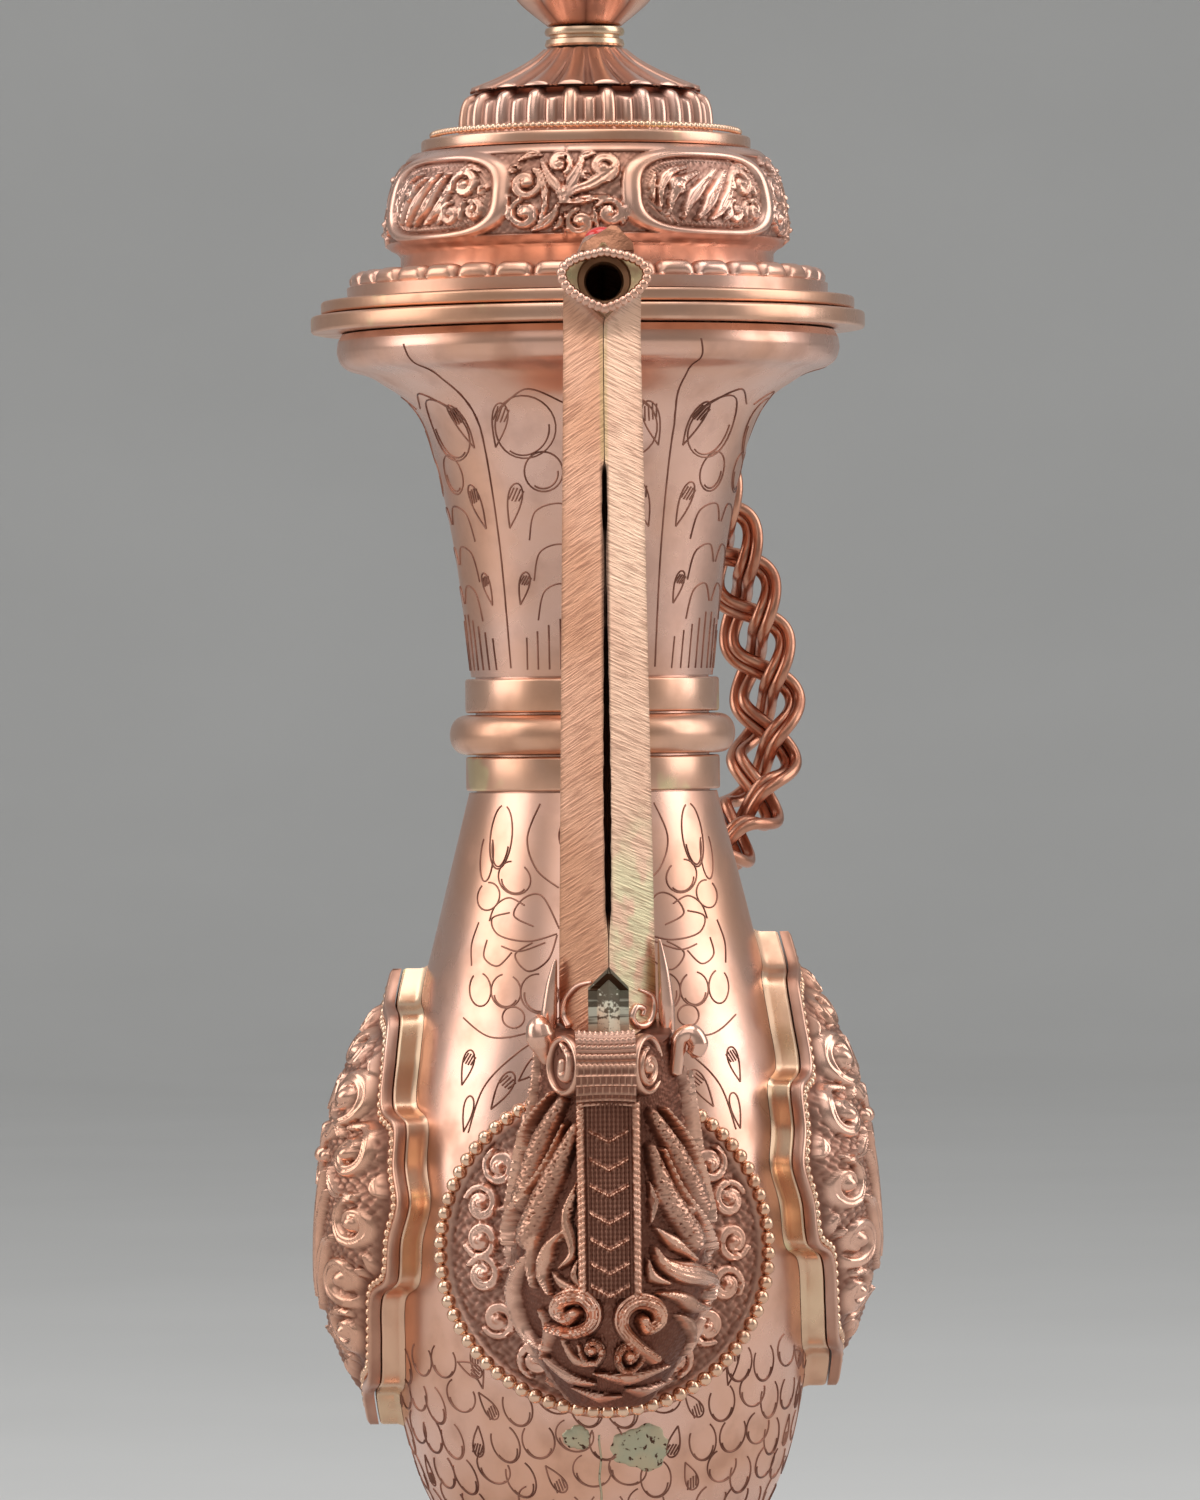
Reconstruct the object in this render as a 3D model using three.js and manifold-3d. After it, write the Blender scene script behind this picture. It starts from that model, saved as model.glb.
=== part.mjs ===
// A Himalayan ritual ewer (bumpa): a footed copper vase with a flanged lid, a makara-headed spout,
// three appliqué medallions and a plaited wire handle. Millimetres, +Z up, the spout faces -Y,
// and the origin is the middle of the foot's underside.
import * as THREE from "three";
import { mergeVertices } from "three/addons/utils/BufferGeometryUtils.js";
import Module from "manifold-3d";

const wasm = await Module();
wasm.setup();

// Sheet, fits and facets
const ROUND = 28; // facets round a large turned piece
const MIDDLE_ROUND = 24; // facets round a middling one
const SMALL_ROUND = 20; // facets round a small one
const WALL = 1.3; // hammered sheet of the vessel and the lid
const FIT = 0.3; // gap between a piece and what it is soldered to or set on
const SLIP = 0.5; // radial play of the lid in the mouth

// Foot
const BASE_PLATE_THICKNESS = 1.5;
const FOOT_RIM_RADIUS = 36;
const FOOT_RIM_WIDTH = 6;
const FOOT_RIM_HEIGHT = 4;
const FOOT_LOTUS_RADIUS = 34.4;
const FOOT_LOTUS_TOP_RADIUS = 26.5;
const FOOT_LOTUS_HEIGHT = 8.7;
const FOOT_LOTUS_WIDTH = 5;
const FOOT_PETALS = 16;
const FOOT_PETAL_CUT = 2.2; // depth of the valleys between the petals
const STEM_RADIUS = 9.5;
const FLARE_HEIGHT = 11.7; // from the lotus ring up to the straight stem
const STEM_HEIGHT = 5.4;
const KNOP_RADIUS = 13.5;
const KNOP_HEIGHT = 5;

// Belly
const BELLY_BOTTOM_RADIUS = 11;
const BELLY_RADIUS = 35.2;
const BELLY_RISE = 55; // from the belly's bottom to its widest ring
const SHOULDER_RADIUS = 20.4;
const SHOULDER_RISE = 79.6; // from the widest ring to the lower collar band
const BELLY_STEPS = 10;

// Collar, which hides the seam between belly and neck
const COLLAR_TUBE_RADIUS = 19.2;
const BAND_HEIGHT = 5.6;
const BAND_RADIUS = 20.9;
const RING_HEIGHT = 6.6;
const RING_RADIUS = 23.5;

// Neck and rim
const NECK_RADIUS = 19.9;
const NECK_HEIGHT = 56.7;
const NECK_STEPS = 6;
const ROLL_RADIUS = 41.3; // outer edge of the trumpet mouth
const MOUTH_RADIUS = 30; // hole in the rim flange
const RIM_RADIUS = 45.6;
const RIM_THICKNESS = 2.8;
const EDGE = 0.6; // rounding of a flange's corners

// Lid
const LID_RADIUS = 43.9;
const LID_THICKNESS = 2.1;
const SLEEVE_DEPTH = 8;
const PETAL_RING_RADIUS = 39.5;
const PETAL_RING_HEIGHT = 4.6;
const PETAL_RING_LOBES = 36;
const LOBE_CUT = 1.1;
const DRUM_FOOT_RADIUS = 30.7;
const DRUM_FOOT_HEIGHT = 7.9;
const DRUM_RADIUS = 33;
const DRUM_TOP_RADIUS = 28.6;
const DRUM_HEIGHT = 24;
const DRUM_TAPER = 0.6; // how much the wall draws in by the middle of its height
const CARTOUCHE_TURN = 38; // degrees round from the spout to a cartouche's middle
const CARTOUCHE_HALF = 27; // half of its width, in degrees
const FRAME_RELIEF = 0.5; // how far a cartouche's frame stands proud of the drum
const LEAF_RELIEF = 0.4;
const DRUM_GROUND = 0.7; // depth of the ground round the leaves
const TOP_PLATE_RADIUS = 27.1;
const TOP_PLATE_THICKNESS = 2.1;
const BEAD_RING_RADIUS = 25.2;
const BEAD_RING_WIRE = 0.8;
const CROWN_RADIUS = 20.9;
const CROWN_HEIGHT = 7.6;
const CROWN_PETALS = 20;
const CROWN_CUT = 1.5;
const DOME_RADIUS = 19;
const DOME_HEIGHT = 7;
const FLUTE_CUT = 0.8;

// Finial
const FINIAL_COLLAR_RADIUS = 6.6;
const FINIAL_COLLAR_HEIGHT = 3.1;
const FINIAL_GROOVE = 0.9;
const CALYX_RADIUS = 11.9;
const CALYX_HEIGHT = 6.4;
const CALYX_PETALS = 8;
const CALYX_CUT = 1.8;
const BUD_RADIUS = 7.6;
const BUD_HEIGHT = 11;
const DOME_BORE = 2; // small holes up the middle of the dome and the calyx
const CALYX_BORE = 1;

// Spout: a four-sided tube folded from sheet, standing on a corner
const SPOUT_DISTANCE = 57; // from the vase's axis to the spout's foot
const SPOUT_SINK = 12; // how deep the spout's foot sits in the head
const SPOUT_LEAN = 5; // degrees outwards from upright
const SPOUT_LENGTH = 119.5; // straight run
const SPOUT_BEND_RADIUS = 9;
const SPOUT_BEND_STEPS = 4;
const SPOUT_TILT = 5; // degrees that the pouring mouth looks up
const SPOUT_REACH = 2.5; // straight run after the bend
const SPOUT_FOOT_HALF = 8; // half diagonal of the section at the foot
const SPOUT_HALF = 6.2; // and at the bend
const SPOUT_WALL = 1;
const SPOUT_CORNER = 0.5; // flat left where the sheet is folded
const MOUTH_DEPTH = 3.2; // length of the flared mouth
const MOUTH_HALF_WIDTH = 7.2;
const MOUTH_DROP = 5.4; // from the spout's axis to the lip's lowest corner
const MOUTH_LIFT = 4.2; // and to its flattened top
const LIP_BEADS = 20;
const LIP_BEAD_RADIUS = 0.65;
const STONE_RADIUS = 2.7;
const STONE_HEIGHT = 1.9;
const BEZEL_WALL = 0.7;
const BEZEL_HEIGHT = 2.6;
const BEZEL_ROOT = 2.5; // how far the cup reaches down round the crest
const FEED_RADIUS = 2.6; // drilled way from the belly to the spout
const FEED_DROP = 27; // from the head's top down to that way
const SOCKET_REACH = 60; // run of the spout that the head's socket is cut round

// Medallions
const COLLAR_WALL = 1.1; // sheet of the standing collar under a plate
const PLATE_THICKNESS = 1;
const FRONT_STANDOFF = 3;
const FRONT_HALF_WIDTH = 29; // along the belly's curve
const FRONT_HALF_HEIGHT = 27;
const FRONT_CENTRE = 92.3;
const FRONT_STEPS = 24;
const FRONT_CURL_RELIEF = 0.9;
const FRONT_BEADS = 44;
const FRONT_BEAD_RADIUS = 1.2;
const SIDE_STANDOFF = 3.9;
const SIDE_HALF_WIDTH = 24.7;
const SIDE_HALF_HEIGHT = 37.5;
const SIDE_RELIEF = 7.2;
const SIDE_LOBE_RELIEF = 1.1;
const LEFT_CENTRE = 99;
const RIGHT_CENTRE = 104.4;

// Makara head: a casting round the spout's foot
const HEAD_RISE = 37.7; // from the front medallion's middle to the head's top
const CHIN_SETBACK = 3.7; // from the medallion's edge up to the head's chin
const HEAD_HALF_WIDTH = 16.6;
const HEAD_WALL = 1; // least metal before and behind the spout's foot
const HEAD_BROW = 5; // from the spout's foot to the head's front
const HEAD_REACH = SPOUT_DISTANCE + SPOUT_FOOT_HALF + HEAD_BROW;
const TRUNK_RADIUS = 6;
const TRUNK_HALF_LENGTH = 9.5;
const TRUNK_DROP = 9; // from the head's top to the trunk's middle
const BAND_HALF_WIDTH = 4; // scaled strip down the face
const BAND_DEPTH = 5;
const VOLUTE_RADIUS = 4;
const MANE_RADIUS = 3.2;
const FIN_RADIUS = 2.6;
const EAR_RADIUS = 2;

// Handle: three strands of doubled wire, plaited
const HANDLE_AZIMUTH = 38; // degrees round from the back towards +X
const HANDLE_REACH = 50.6; // from the vase's axis to the plait's furthest point
const HANDLE_TOP = 221.5;
const HANDLE_BOTTOM = 151.5;
const WIRE_RADIUS = 1;
const PLAIT_CYCLES = 2.75;
const PLAIT_HALF_WIDTH = 4.8;
const PLAIT_HALF_DEPTH = 2.6;
const PLAIT_STEPS = 28;
const SEAT_HALF_WIDTH = 7.6;
const SEAT_HALF_DEPTH = 4.8;
const SEAT_EDGE = 0.8; // bevel of the pad's outer end
const UPPER_STANDOFF = 3.8; // from the neck's wall to the plait's end
const LOWER_STANDOFF = 4.6;

// Heights that follow, from the ground up
const LOTUS_START = FOOT_RIM_HEIGHT + FIT;
const FLARE_START = LOTUS_START + FOOT_LOTUS_HEIGHT + FIT;
const STEM_START = FLARE_START + FLARE_HEIGHT;
const BELLY_START = STEM_START + STEM_HEIGHT + FIT;
const BELLY_MIDDLE = BELLY_START + BELLY_RISE;
const SHOULDER_TOP = BELLY_MIDDLE + SHOULDER_RISE;
const LOWER_BAND_START = SHOULDER_TOP + FIT;
const RING_START = LOWER_BAND_START + BAND_HEIGHT + FIT;
const UPPER_BAND_START = RING_START + RING_HEIGHT + FIT;
const NECK_START = UPPER_BAND_START + BAND_HEIGHT + FIT;
const SEAM = RING_START + RING_HEIGHT / 2;
const RIM_START = NECK_START + NECK_HEIGHT;
const LID_START = RIM_START + RIM_THICKNESS + FIT;
const LID_TOP = LID_START + LID_THICKNESS;
const DRUM_TOP = LID_TOP + DRUM_HEIGHT;
const TOP_PLATE_START = DRUM_TOP + FIT;
const CROWN_START = TOP_PLATE_START + TOP_PLATE_THICKNESS + FIT;
const DOME_START = CROWN_START + CROWN_HEIGHT;
const FINIAL_START = DOME_START + DOME_HEIGHT + FIT;
const CALYX_START = FINIAL_START + FINIAL_COLLAR_HEIGHT + FIT;
const BUD_START = CALYX_START + CALYX_HEIGHT + FIT;

// Heights of the head and the spout, which follow the front medallion
const HEAD_TOP = FRONT_CENTRE + HEAD_RISE;
const HEAD_HEIGHT = HEAD_RISE + FRONT_HALF_HEIGHT - CHIN_SETBACK;
const SPOUT_FOOT_HEIGHT = HEAD_TOP - SPOUT_SINK;
const FEED_HEIGHT = HEAD_TOP - FEED_DROP;

// Finishes
const finish = (colour, roughness, metalness) =>
  new THREE.MeshStandardMaterial({ color: colour, roughness, metalness });
const SHEET_COPPER = finish(0xd9987a, 0.3, 1);
const CAST_COPPER = finish(0xb9745a, 0.4, 1);
const WIRE_COPPER = finish(0xa9623f, 0.38, 1);
const BRASS = finish(0xd8bc7a, 0.3, 1);
const RED_STONE = finish(0xd8201f, 0.15, 0);

const ewer = new THREE.Group();
const lid = new THREE.Group();
ewer.add(lid);

function addPiece(name, geometry, material, group = ewer) {
  const mesh = new THREE.Mesh(geometry, material);
  mesh.name = name;
  group.add(mesh);
}

// Joining and cutting
function toSolid(geometry) {
  const bare = geometry.index ? geometry.toNonIndexed() : geometry.clone();
  bare.deleteAttribute("normal");
  bare.deleteAttribute("uv");
  const merged = mergeVertices(bare, 1e-3);
  return new wasm.Manifold(
    new wasm.Mesh({
      numProp: 3,
      vertProperties: merged.attributes.position.array,
      triVerts: new Uint32Array(merged.index.array),
    }),
  );
}

function toGeometry(solid) {
  const mesh = solid.getMesh();
  return new THREE.BufferGeometry()
    .setAttribute("position", new THREE.BufferAttribute(mesh.vertProperties, 3))
    .setIndex(new THREE.BufferAttribute(mesh.triVerts, 1));
}

const cut = (geometry, ...tools) =>
  toGeometry(tools.reduce((left, tool) => left.subtract(toSolid(tool)), toSolid(geometry)));

const join = (...geometries) =>
  toGeometry(geometries.map(toSolid).reduce((all, one) => all.add(one)));

// Turns a closed surface inside out if its faces point inwards.
function facingOut(geometry) {
  const place = geometry.attributes.position;
  const index = geometry.index.array;
  const [a, b, c] = [new THREE.Vector3(), new THREE.Vector3(), new THREE.Vector3()];
  let volume = 0;
  for (let i = 0; i < index.length; i += 3) {
    a.fromBufferAttribute(place, index[i]);
    b.fromBufferAttribute(place, index[i + 1]);
    c.fromBufferAttribute(place, index[i + 2]);
    volume += a.dot(b.cross(c));
  }
  if (volume < 0) {
    for (let i = 0; i < index.length; i += 3) {
      [index[i + 1], index[i + 2]] = [index[i + 2], index[i + 1]];
    }
  }
  return geometry;
}

// A turned piece from an outline of [radius, height] pairs
function turned(outline, facets = ROUND) {
  const points = outline.map(([radius, height]) => new THREE.Vector2(radius, height));
  const closesOnAxis = points[0].x === 0 && points.at(-1).x === 0;
  if (!closesOnAxis) points.push(points[0].clone());
  return facingOut(new THREE.LatheGeometry(points, facets).rotateX(Math.PI / 2));
}

// A skin over rings of equal counts of points: a closed one runs from the last ring to the first,
// an open one has a flat end on its first and last ring.
function skin(rings, closed) {
  const count = rings[0].length;
  const position = rings.flat().flatMap((p) => [p.x, p.y, p.z]);
  const index = [];
  const steps = closed ? rings.length : rings.length - 1;
  for (let i = 0; i < steps; i++) {
    const near = i * count;
    const far = ((i + 1) % rings.length) * count;
    for (let j = 0; j < count; j++) {
      const next = (j + 1) % count;
      index.push(near + j, near + next, far + next, near + j, far + next, far + j);
    }
  }
  if (!closed) {
    const last = (rings.length - 1) * count;
    for (let j = 1; j < count - 1; j++) {
      index.push(0, j + 1, j, last, last + j, last + j + 1);
    }
  }
  const made = new THREE.BufferGeometry()
    .setAttribute("position", new THREE.Float32BufferAttribute(position, 3))
    .setIndex(index);
  return facingOut(made);
}

// A ring-shaped piece with lobes, from an outline of [radius, height, depth of the valleys]
function lobed(outline, lobes, facetsPerLobe) {
  const facets = lobes * facetsPerLobe;
  const rings = outline.map(([radius, height, valley = 0]) =>
    Array.from({ length: facets }, (_, j) => {
      const angle = (2 * Math.PI * j) / facets;
      const reach = radius - valley * (1 - Math.abs(Math.cos((lobes * angle) / 2)));
      return new THREE.Vector3(reach * Math.sin(angle), -reach * Math.cos(angle), height);
    }),
  );
  return skin(rings, true);
}

// A wire drawn into touching beads along a closed line: each bead has a full and a pinched ring.
function beadedWire(line, radius) {
  const rings = line.map(({ point, out }, i) => {
    const before = line[(i + line.length - 1) % line.length].point;
    const after = line[(i + 1) % line.length].point;
    const along = after.clone().sub(before).normalize();
    const side = new THREE.Vector3().crossVectors(along, out).normalize();
    const up = new THREE.Vector3().crossVectors(side, along);
    const reach = i % 2 ? radius * 0.55 : radius;
    return [0.25, 0.75, 1.25, 1.75].map((turn) =>
      point
        .clone()
        .addScaledVector(side, reach * Math.cos(turn * Math.PI))
        .addScaledVector(up, reach * Math.sin(turn * Math.PI)),
    );
  });
  return skin(rings, true);
}

// Profiles as [radius, height] pairs
const curve = (points, steps) =>
  new THREE.SplineCurve(points.map(([r, z]) => new THREE.Vector2(r, z)))
    .getPoints(steps)
    .map((p) => [p.x, p.y]);

const bellyLine = curve(
  [
    [BELLY_BOTTOM_RADIUS, BELLY_START],
    [BELLY_RADIUS * 0.66, BELLY_START + BELLY_RISE * 0.2],
    [BELLY_RADIUS * 0.89, BELLY_START + BELLY_RISE * 0.49],
    [BELLY_RADIUS, BELLY_MIDDLE],
    [BELLY_RADIUS * 0.93, BELLY_MIDDLE + SHOULDER_RISE * 0.37],
    [(BELLY_RADIUS + SHOULDER_RADIUS) * 0.467, BELLY_MIDDLE + SHOULDER_RISE * 0.72],
    [SHOULDER_RADIUS, SHOULDER_TOP],
  ],
  BELLY_STEPS,
);

const FLARE = ROLL_RADIUS - NECK_RADIUS;
const neckLine = curve(
  [
    [NECK_RADIUS, NECK_START],
    [NECK_RADIUS + FLARE * 0.13, NECK_START + NECK_HEIGHT * 0.4],
    [NECK_RADIUS + FLARE * 0.355, NECK_START + NECK_HEIGHT * 0.74],
    [NECK_RADIUS + FLARE * 0.71, NECK_START + NECK_HEIGHT * 0.865],
    [ROLL_RADIUS, NECK_START + NECK_HEIGHT * 0.955],
  ],
  NECK_STEPS,
);

// The same line moved a wall's thickness towards the inside
function insideOf(line, wall) {
  return line.map(([r, z], i) => {
    const [r0, z0] = line[Math.max(i - 1, 0)];
    const [r1, z1] = line[Math.min(i + 1, line.length - 1)];
    const run = Math.hypot(r1 - r0, z1 - z0);
    return [r - (wall * (z1 - z0)) / run, z + (wall * (r1 - r0)) / run];
  });
}

// Radius of a profile at a height
function radiusAt(line, height) {
  const above = line.findIndex(([, z]) => z >= height);
  if (above <= 0) return line.at(above)[0];
  const [r0, z0] = line[above - 1];
  const [r1, z1] = line[above];
  return r0 + ((r1 - r0) * (height - z0)) / (z1 - z0);
}

// A solid core that fills a profile and stands off it by a gap, for cutting what is set against it
function coreOf(line, gap) {
  const wider = line.map(([r, z]) => [r + gap, z]);
  return turned([[0, line[0][1]], ...wider, [0, line.at(-1)[1]]]);
}

// Foot
function disc(radius, start, thickness) {
  return turned([
    [0, start],
    [radius, start],
    [radius, start + thickness],
    [0, start + thickness],
  ]);
}

function footRim() {
  const inner = FOOT_RIM_RADIUS - FOOT_RIM_WIDTH;
  return turned([
    [inner, 0],
    [FOOT_RIM_RADIUS, 0],
    [FOOT_RIM_RADIUS, FOOT_RIM_HEIGHT - 2 * EDGE],
    [FOOT_RIM_RADIUS - 2 * EDGE, FOOT_RIM_HEIGHT],
    [inner, FOOT_RIM_HEIGHT],
  ]);
}

function footLotus() {
  const top = LOTUS_START + FOOT_LOTUS_HEIGHT;
  const middle = LOTUS_START + FOOT_LOTUS_HEIGHT * 0.6;
  return lobed(
    [
      [FOOT_LOTUS_RADIUS - FOOT_LOTUS_WIDTH, LOTUS_START],
      [FOOT_LOTUS_RADIUS, LOTUS_START, FOOT_PETAL_CUT],
      [(FOOT_LOTUS_RADIUS * 2 + FOOT_LOTUS_TOP_RADIUS) / 3 + 1, middle, FOOT_PETAL_CUT / 2],
      [FOOT_LOTUS_TOP_RADIUS, top],
      [FOOT_LOTUS_TOP_RADIUS - WALL, top],
    ],
    FOOT_PETALS,
    3,
  );
}

function footFlare() {
  const sweep = FOOT_LOTUS_TOP_RADIUS - STEM_RADIUS;
  const outside = [
    [FOOT_LOTUS_TOP_RADIUS, FLARE_START],
    [STEM_RADIUS + sweep * 0.5, FLARE_START + FLARE_HEIGHT * 0.3],
    [STEM_RADIUS + sweep * 0.14, FLARE_START + FLARE_HEIGHT * 0.67],
    [STEM_RADIUS, STEM_START],
    [STEM_RADIUS, STEM_START + STEM_HEIGHT],
  ];
  const inside = outside.filter((_, i) => i !== 2).map(([r, z]) => [r - 1.6 * WALL, z]);
  return turned([...outside, ...inside.reverse()], MIDDLE_ROUND);
}

function stemKnop() {
  const inner = STEM_RADIUS + FIT;
  const start = STEM_START + (STEM_HEIGHT - KNOP_HEIGHT) / 2;
  return turned(
    [
      [inner, start],
      [(inner + KNOP_RADIUS) / 2, start + KNOP_HEIGHT * 0.08],
      [KNOP_RADIUS, start + KNOP_HEIGHT * 0.35],
      [KNOP_RADIUS, start + KNOP_HEIGHT * 0.65],
      [(inner + KNOP_RADIUS) / 2, start + KNOP_HEIGHT * 0.92],
      [inner, start + KNOP_HEIGHT],
    ],
    SMALL_ROUND,
  );
}

// The way drilled through the belly's front and the medallion's plate
function feedHole() {
  const length = SPOUT_DISTANCE;
  return new THREE.CylinderGeometry(FEED_RADIUS, FEED_RADIUS, length, 8).translate(
    0,
    -length / 2,
    FEED_HEIGHT,
  );
}

// And the way up from it to the spout's foot
function feedShaft() {
  const rise = SPOUT_FOOT_HEIGHT - FEED_HEIGHT;
  return new THREE.CylinderGeometry(FEED_RADIUS, FEED_RADIUS, rise, 8)
    .rotateX(Math.PI / 2)
    .translate(0, -SPOUT_DISTANCE, FEED_HEIGHT + rise / 2);
}

function bodyShell() {
  const inside = insideOf(bellyLine, WALL).filter((_, i) => i % 2 === 1 && i < bellyLine.length - 1);
  const innerTube = COLLAR_TUBE_RADIUS - WALL;
  const shell = turned([
    [0, BELLY_START],
    ...bellyLine,
    [COLLAR_TUBE_RADIUS, SHOULDER_TOP],
    [COLLAR_TUBE_RADIUS, SEAM],
    [innerTube, SEAM],
    [innerTube, SHOULDER_TOP - 2 * WALL],
    ...inside.reverse(),
    [0, BELLY_START + 1.5 * WALL],
  ]);
  return cut(shell, feedHole());
}

// Collar
function collarBand(start) {
  const inner = COLLAR_TUBE_RADIUS + FIT;
  return turned(
    [
      [inner, start],
      [BAND_RADIUS, start],
      [BAND_RADIUS, start + BAND_HEIGHT],
      [inner, start + BAND_HEIGHT],
    ],
    MIDDLE_ROUND,
  );
}

function collarRing() {
  const inner = COLLAR_TUBE_RADIUS + FIT;
  const seat = BAND_RADIUS;
  return turned(
    [
      [inner, RING_START],
      [seat, RING_START],
      [RING_RADIUS, RING_START + RING_HEIGHT * 0.3],
      [RING_RADIUS, RING_START + RING_HEIGHT * 0.7],
      [seat, RING_START + RING_HEIGHT],
      [inner, RING_START + RING_HEIGHT],
    ],
    MIDDLE_ROUND,
  );
}

// Neck
function neckShell() {
  const inside = insideOf(neckLine, WALL).filter((_, i) => i % 2 === 0);
  inside[0] = [COLLAR_TUBE_RADIUS - WALL, NECK_START + FIT];
  const lip = RIM_START - FIT;
  return turned([
    [COLLAR_TUBE_RADIUS, SEAM + FIT],
    [COLLAR_TUBE_RADIUS, NECK_START],
    ...neckLine,
    [ROLL_RADIUS, lip],
    [ROLL_RADIUS - 1.4 * WALL, lip],
    ...inside.reverse(),
    [COLLAR_TUBE_RADIUS - WALL, SEAM + FIT],
  ]);
}

// A flat disc or ring with eased outer corners
function flange(inner, outer, start, thickness) {
  return turned([
    [inner, start],
    [outer - EDGE, start],
    [outer, start + EDGE],
    [outer, start + thickness - EDGE],
    [outer - EDGE, start + thickness],
    [inner, start + thickness],
  ]);
}

// Lid
function lidSleeve() {
  const outer = MOUTH_RADIUS - SLIP;
  return turned(
    [
      [outer - WALL, LID_START - FIT - SLEEVE_DEPTH],
      [outer, LID_START - FIT - SLEEVE_DEPTH],
      [outer, LID_START - FIT],
      [outer - WALL, LID_START - FIT],
    ],
    MIDDLE_ROUND,
  );
}

function lidPetalRing() {
  const start = LID_TOP + FIT;
  const inner = DRUM_FOOT_RADIUS + FIT;
  return lobed(
    [
      [inner, start],
      [PETAL_RING_RADIUS, start, LOBE_CUT * 0.5],
      [PETAL_RING_RADIUS - 1.6, start + PETAL_RING_HEIGHT, LOBE_CUT],
      [inner, start + PETAL_RING_HEIGHT * 0.8],
    ],
    PETAL_RING_LOBES,
    2,
  );
}

// The drum's relief: columns at shares of a cartouche's half width and of the panel beside it,
// rows at shares of the wall's height
const FRAME_COLUMNS = [-1, -0.75, -0.4, 0, 0.4, 0.75, 1];
const PANEL_COLUMNS = [0.25, 0.5, 0.75];
const RELIEF_ROWS = [0.06, 0.16, 0.38, 0.6, 0.82];

function drumColumns() {
  const panel = 90 - 2 * CARTOUCHE_HALF;
  return [0, 90, 180, 270].flatMap((turn) => [
    ...FRAME_COLUMNS.map((share) => CARTOUCHE_TURN + turn + CARTOUCHE_HALF * share),
    ...PANEL_COLUMNS.map((share) => CARTOUCHE_TURN + turn + CARTOUCHE_HALF + panel * share),
  ]);
}

// How far a point of the relief stands out: frames round diagonal leaves, knobs in the panels
function drumLift(column, row) {
  const place = column % (FRAME_COLUMNS.length + PANEL_COLUMNS.length);
  const last = FRAME_COLUMNS.length - 1;
  const edge = row === 1 || row === RELIEF_ROWS.length - 1;
  if (row === 0) return 0;
  if (place === 0 || place === last) return edge ? FRAME_RELIEF / 2 : FRAME_RELIEF;
  if (edge) return place < last ? FRAME_RELIEF : 0;
  if (place === 1 || place === last - 1) return -DRUM_GROUND;
  return (place + row) % 2 === 0 ? LEAF_RELIEF : -DRUM_GROUND;
}

function lidDrum() {
  const start = LID_TOP + FIT;
  const bulge = LID_TOP + DRUM_FOOT_HEIGHT;
  const rise = DRUM_TOP - bulge;
  const waist = 0.56;
  const columns = drumColumns().map(degrees);
  const wall = (share) =>
    share < waist
      ? DRUM_RADIUS - (DRUM_TAPER * share) / waist
      : DRUM_RADIUS -
        DRUM_TAPER -
        ((DRUM_RADIUS - DRUM_TAPER - DRUM_TOP_RADIUS) * (share - waist)) / (1 - waist);
  const ring = (radius, height, lift = () => 0) =>
    columns.map((turn, i) => {
      const reach = radius + lift(i);
      return new THREE.Vector3(reach * Math.sin(turn), -reach * Math.cos(turn), height);
    });
  return skin(
    [
      ring(DRUM_FOOT_RADIUS, start),
      ring(DRUM_FOOT_RADIUS, bulge),
      ...RELIEF_ROWS.map((share, row) =>
        ring(wall(share), bulge + rise * share, (column) => drumLift(column, row)),
      ),
      ring(DRUM_TOP_RADIUS, DRUM_TOP),
      ring(DRUM_TOP_RADIUS - 2 * WALL, DRUM_TOP),
      ring(DRUM_RADIUS - 2.4 * WALL, bulge + rise * 0.5),
      ring(DRUM_FOOT_RADIUS - 1.6 * WALL, start),
    ],
    true,
  );
}

function lidBeadRing() {
  const middle = TOP_PLATE_START + TOP_PLATE_THICKNESS + FIT + BEAD_RING_WIRE;
  const outline = [0, 1, 2, 3].map((i) => {
    const turn = (Math.PI * (i + 0.5)) / 2;
    return [
      BEAD_RING_RADIUS + BEAD_RING_WIRE * Math.cos(turn),
      middle - BEAD_RING_WIRE * Math.sin(turn),
    ];
  });
  return turned(outline, MIDDLE_ROUND);
}

function lidCrown() {
  return lobed(
    [
      [DOME_RADIUS - 3, CROWN_START],
      [CROWN_RADIUS, CROWN_START, CROWN_CUT * 0.5],
      [CROWN_RADIUS - 1.2, CROWN_START + CROWN_HEIGHT - FIT, CROWN_CUT],
      [DOME_RADIUS - 3, CROWN_START + CROWN_HEIGHT - FIT],
    ],
    CROWN_PETALS,
    2,
  );
}

function lidDome() {
  return lobed(
    [
      [DOME_BORE, DOME_START],
      [DOME_RADIUS, DOME_START],
      [DOME_RADIUS * 0.8, DOME_START + DOME_HEIGHT * 0.2, FLUTE_CUT],
      [DOME_RADIUS * 0.5, DOME_START + DOME_HEIGHT * 0.6, FLUTE_CUT],
      [FINIAL_COLLAR_RADIUS, DOME_START + DOME_HEIGHT],
      [DOME_BORE, DOME_START + DOME_HEIGHT],
    ],
    CROWN_PETALS,
    2,
  );
}

// Finial
function finialCollar() {
  const step = FINIAL_COLLAR_HEIGHT / 4;
  return turned(
    [
      [0, FINIAL_START],
      [FINIAL_COLLAR_RADIUS, FINIAL_START],
      [FINIAL_COLLAR_RADIUS, FINIAL_START + step],
      [FINIAL_COLLAR_RADIUS - FINIAL_GROOVE, FINIAL_START + 2 * step],
      [FINIAL_COLLAR_RADIUS, FINIAL_START + 3 * step],
      [FINIAL_COLLAR_RADIUS, FINIAL_START + 4 * step],
      [0, FINIAL_START + 4 * step],
    ],
    SMALL_ROUND,
  );
}

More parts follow.
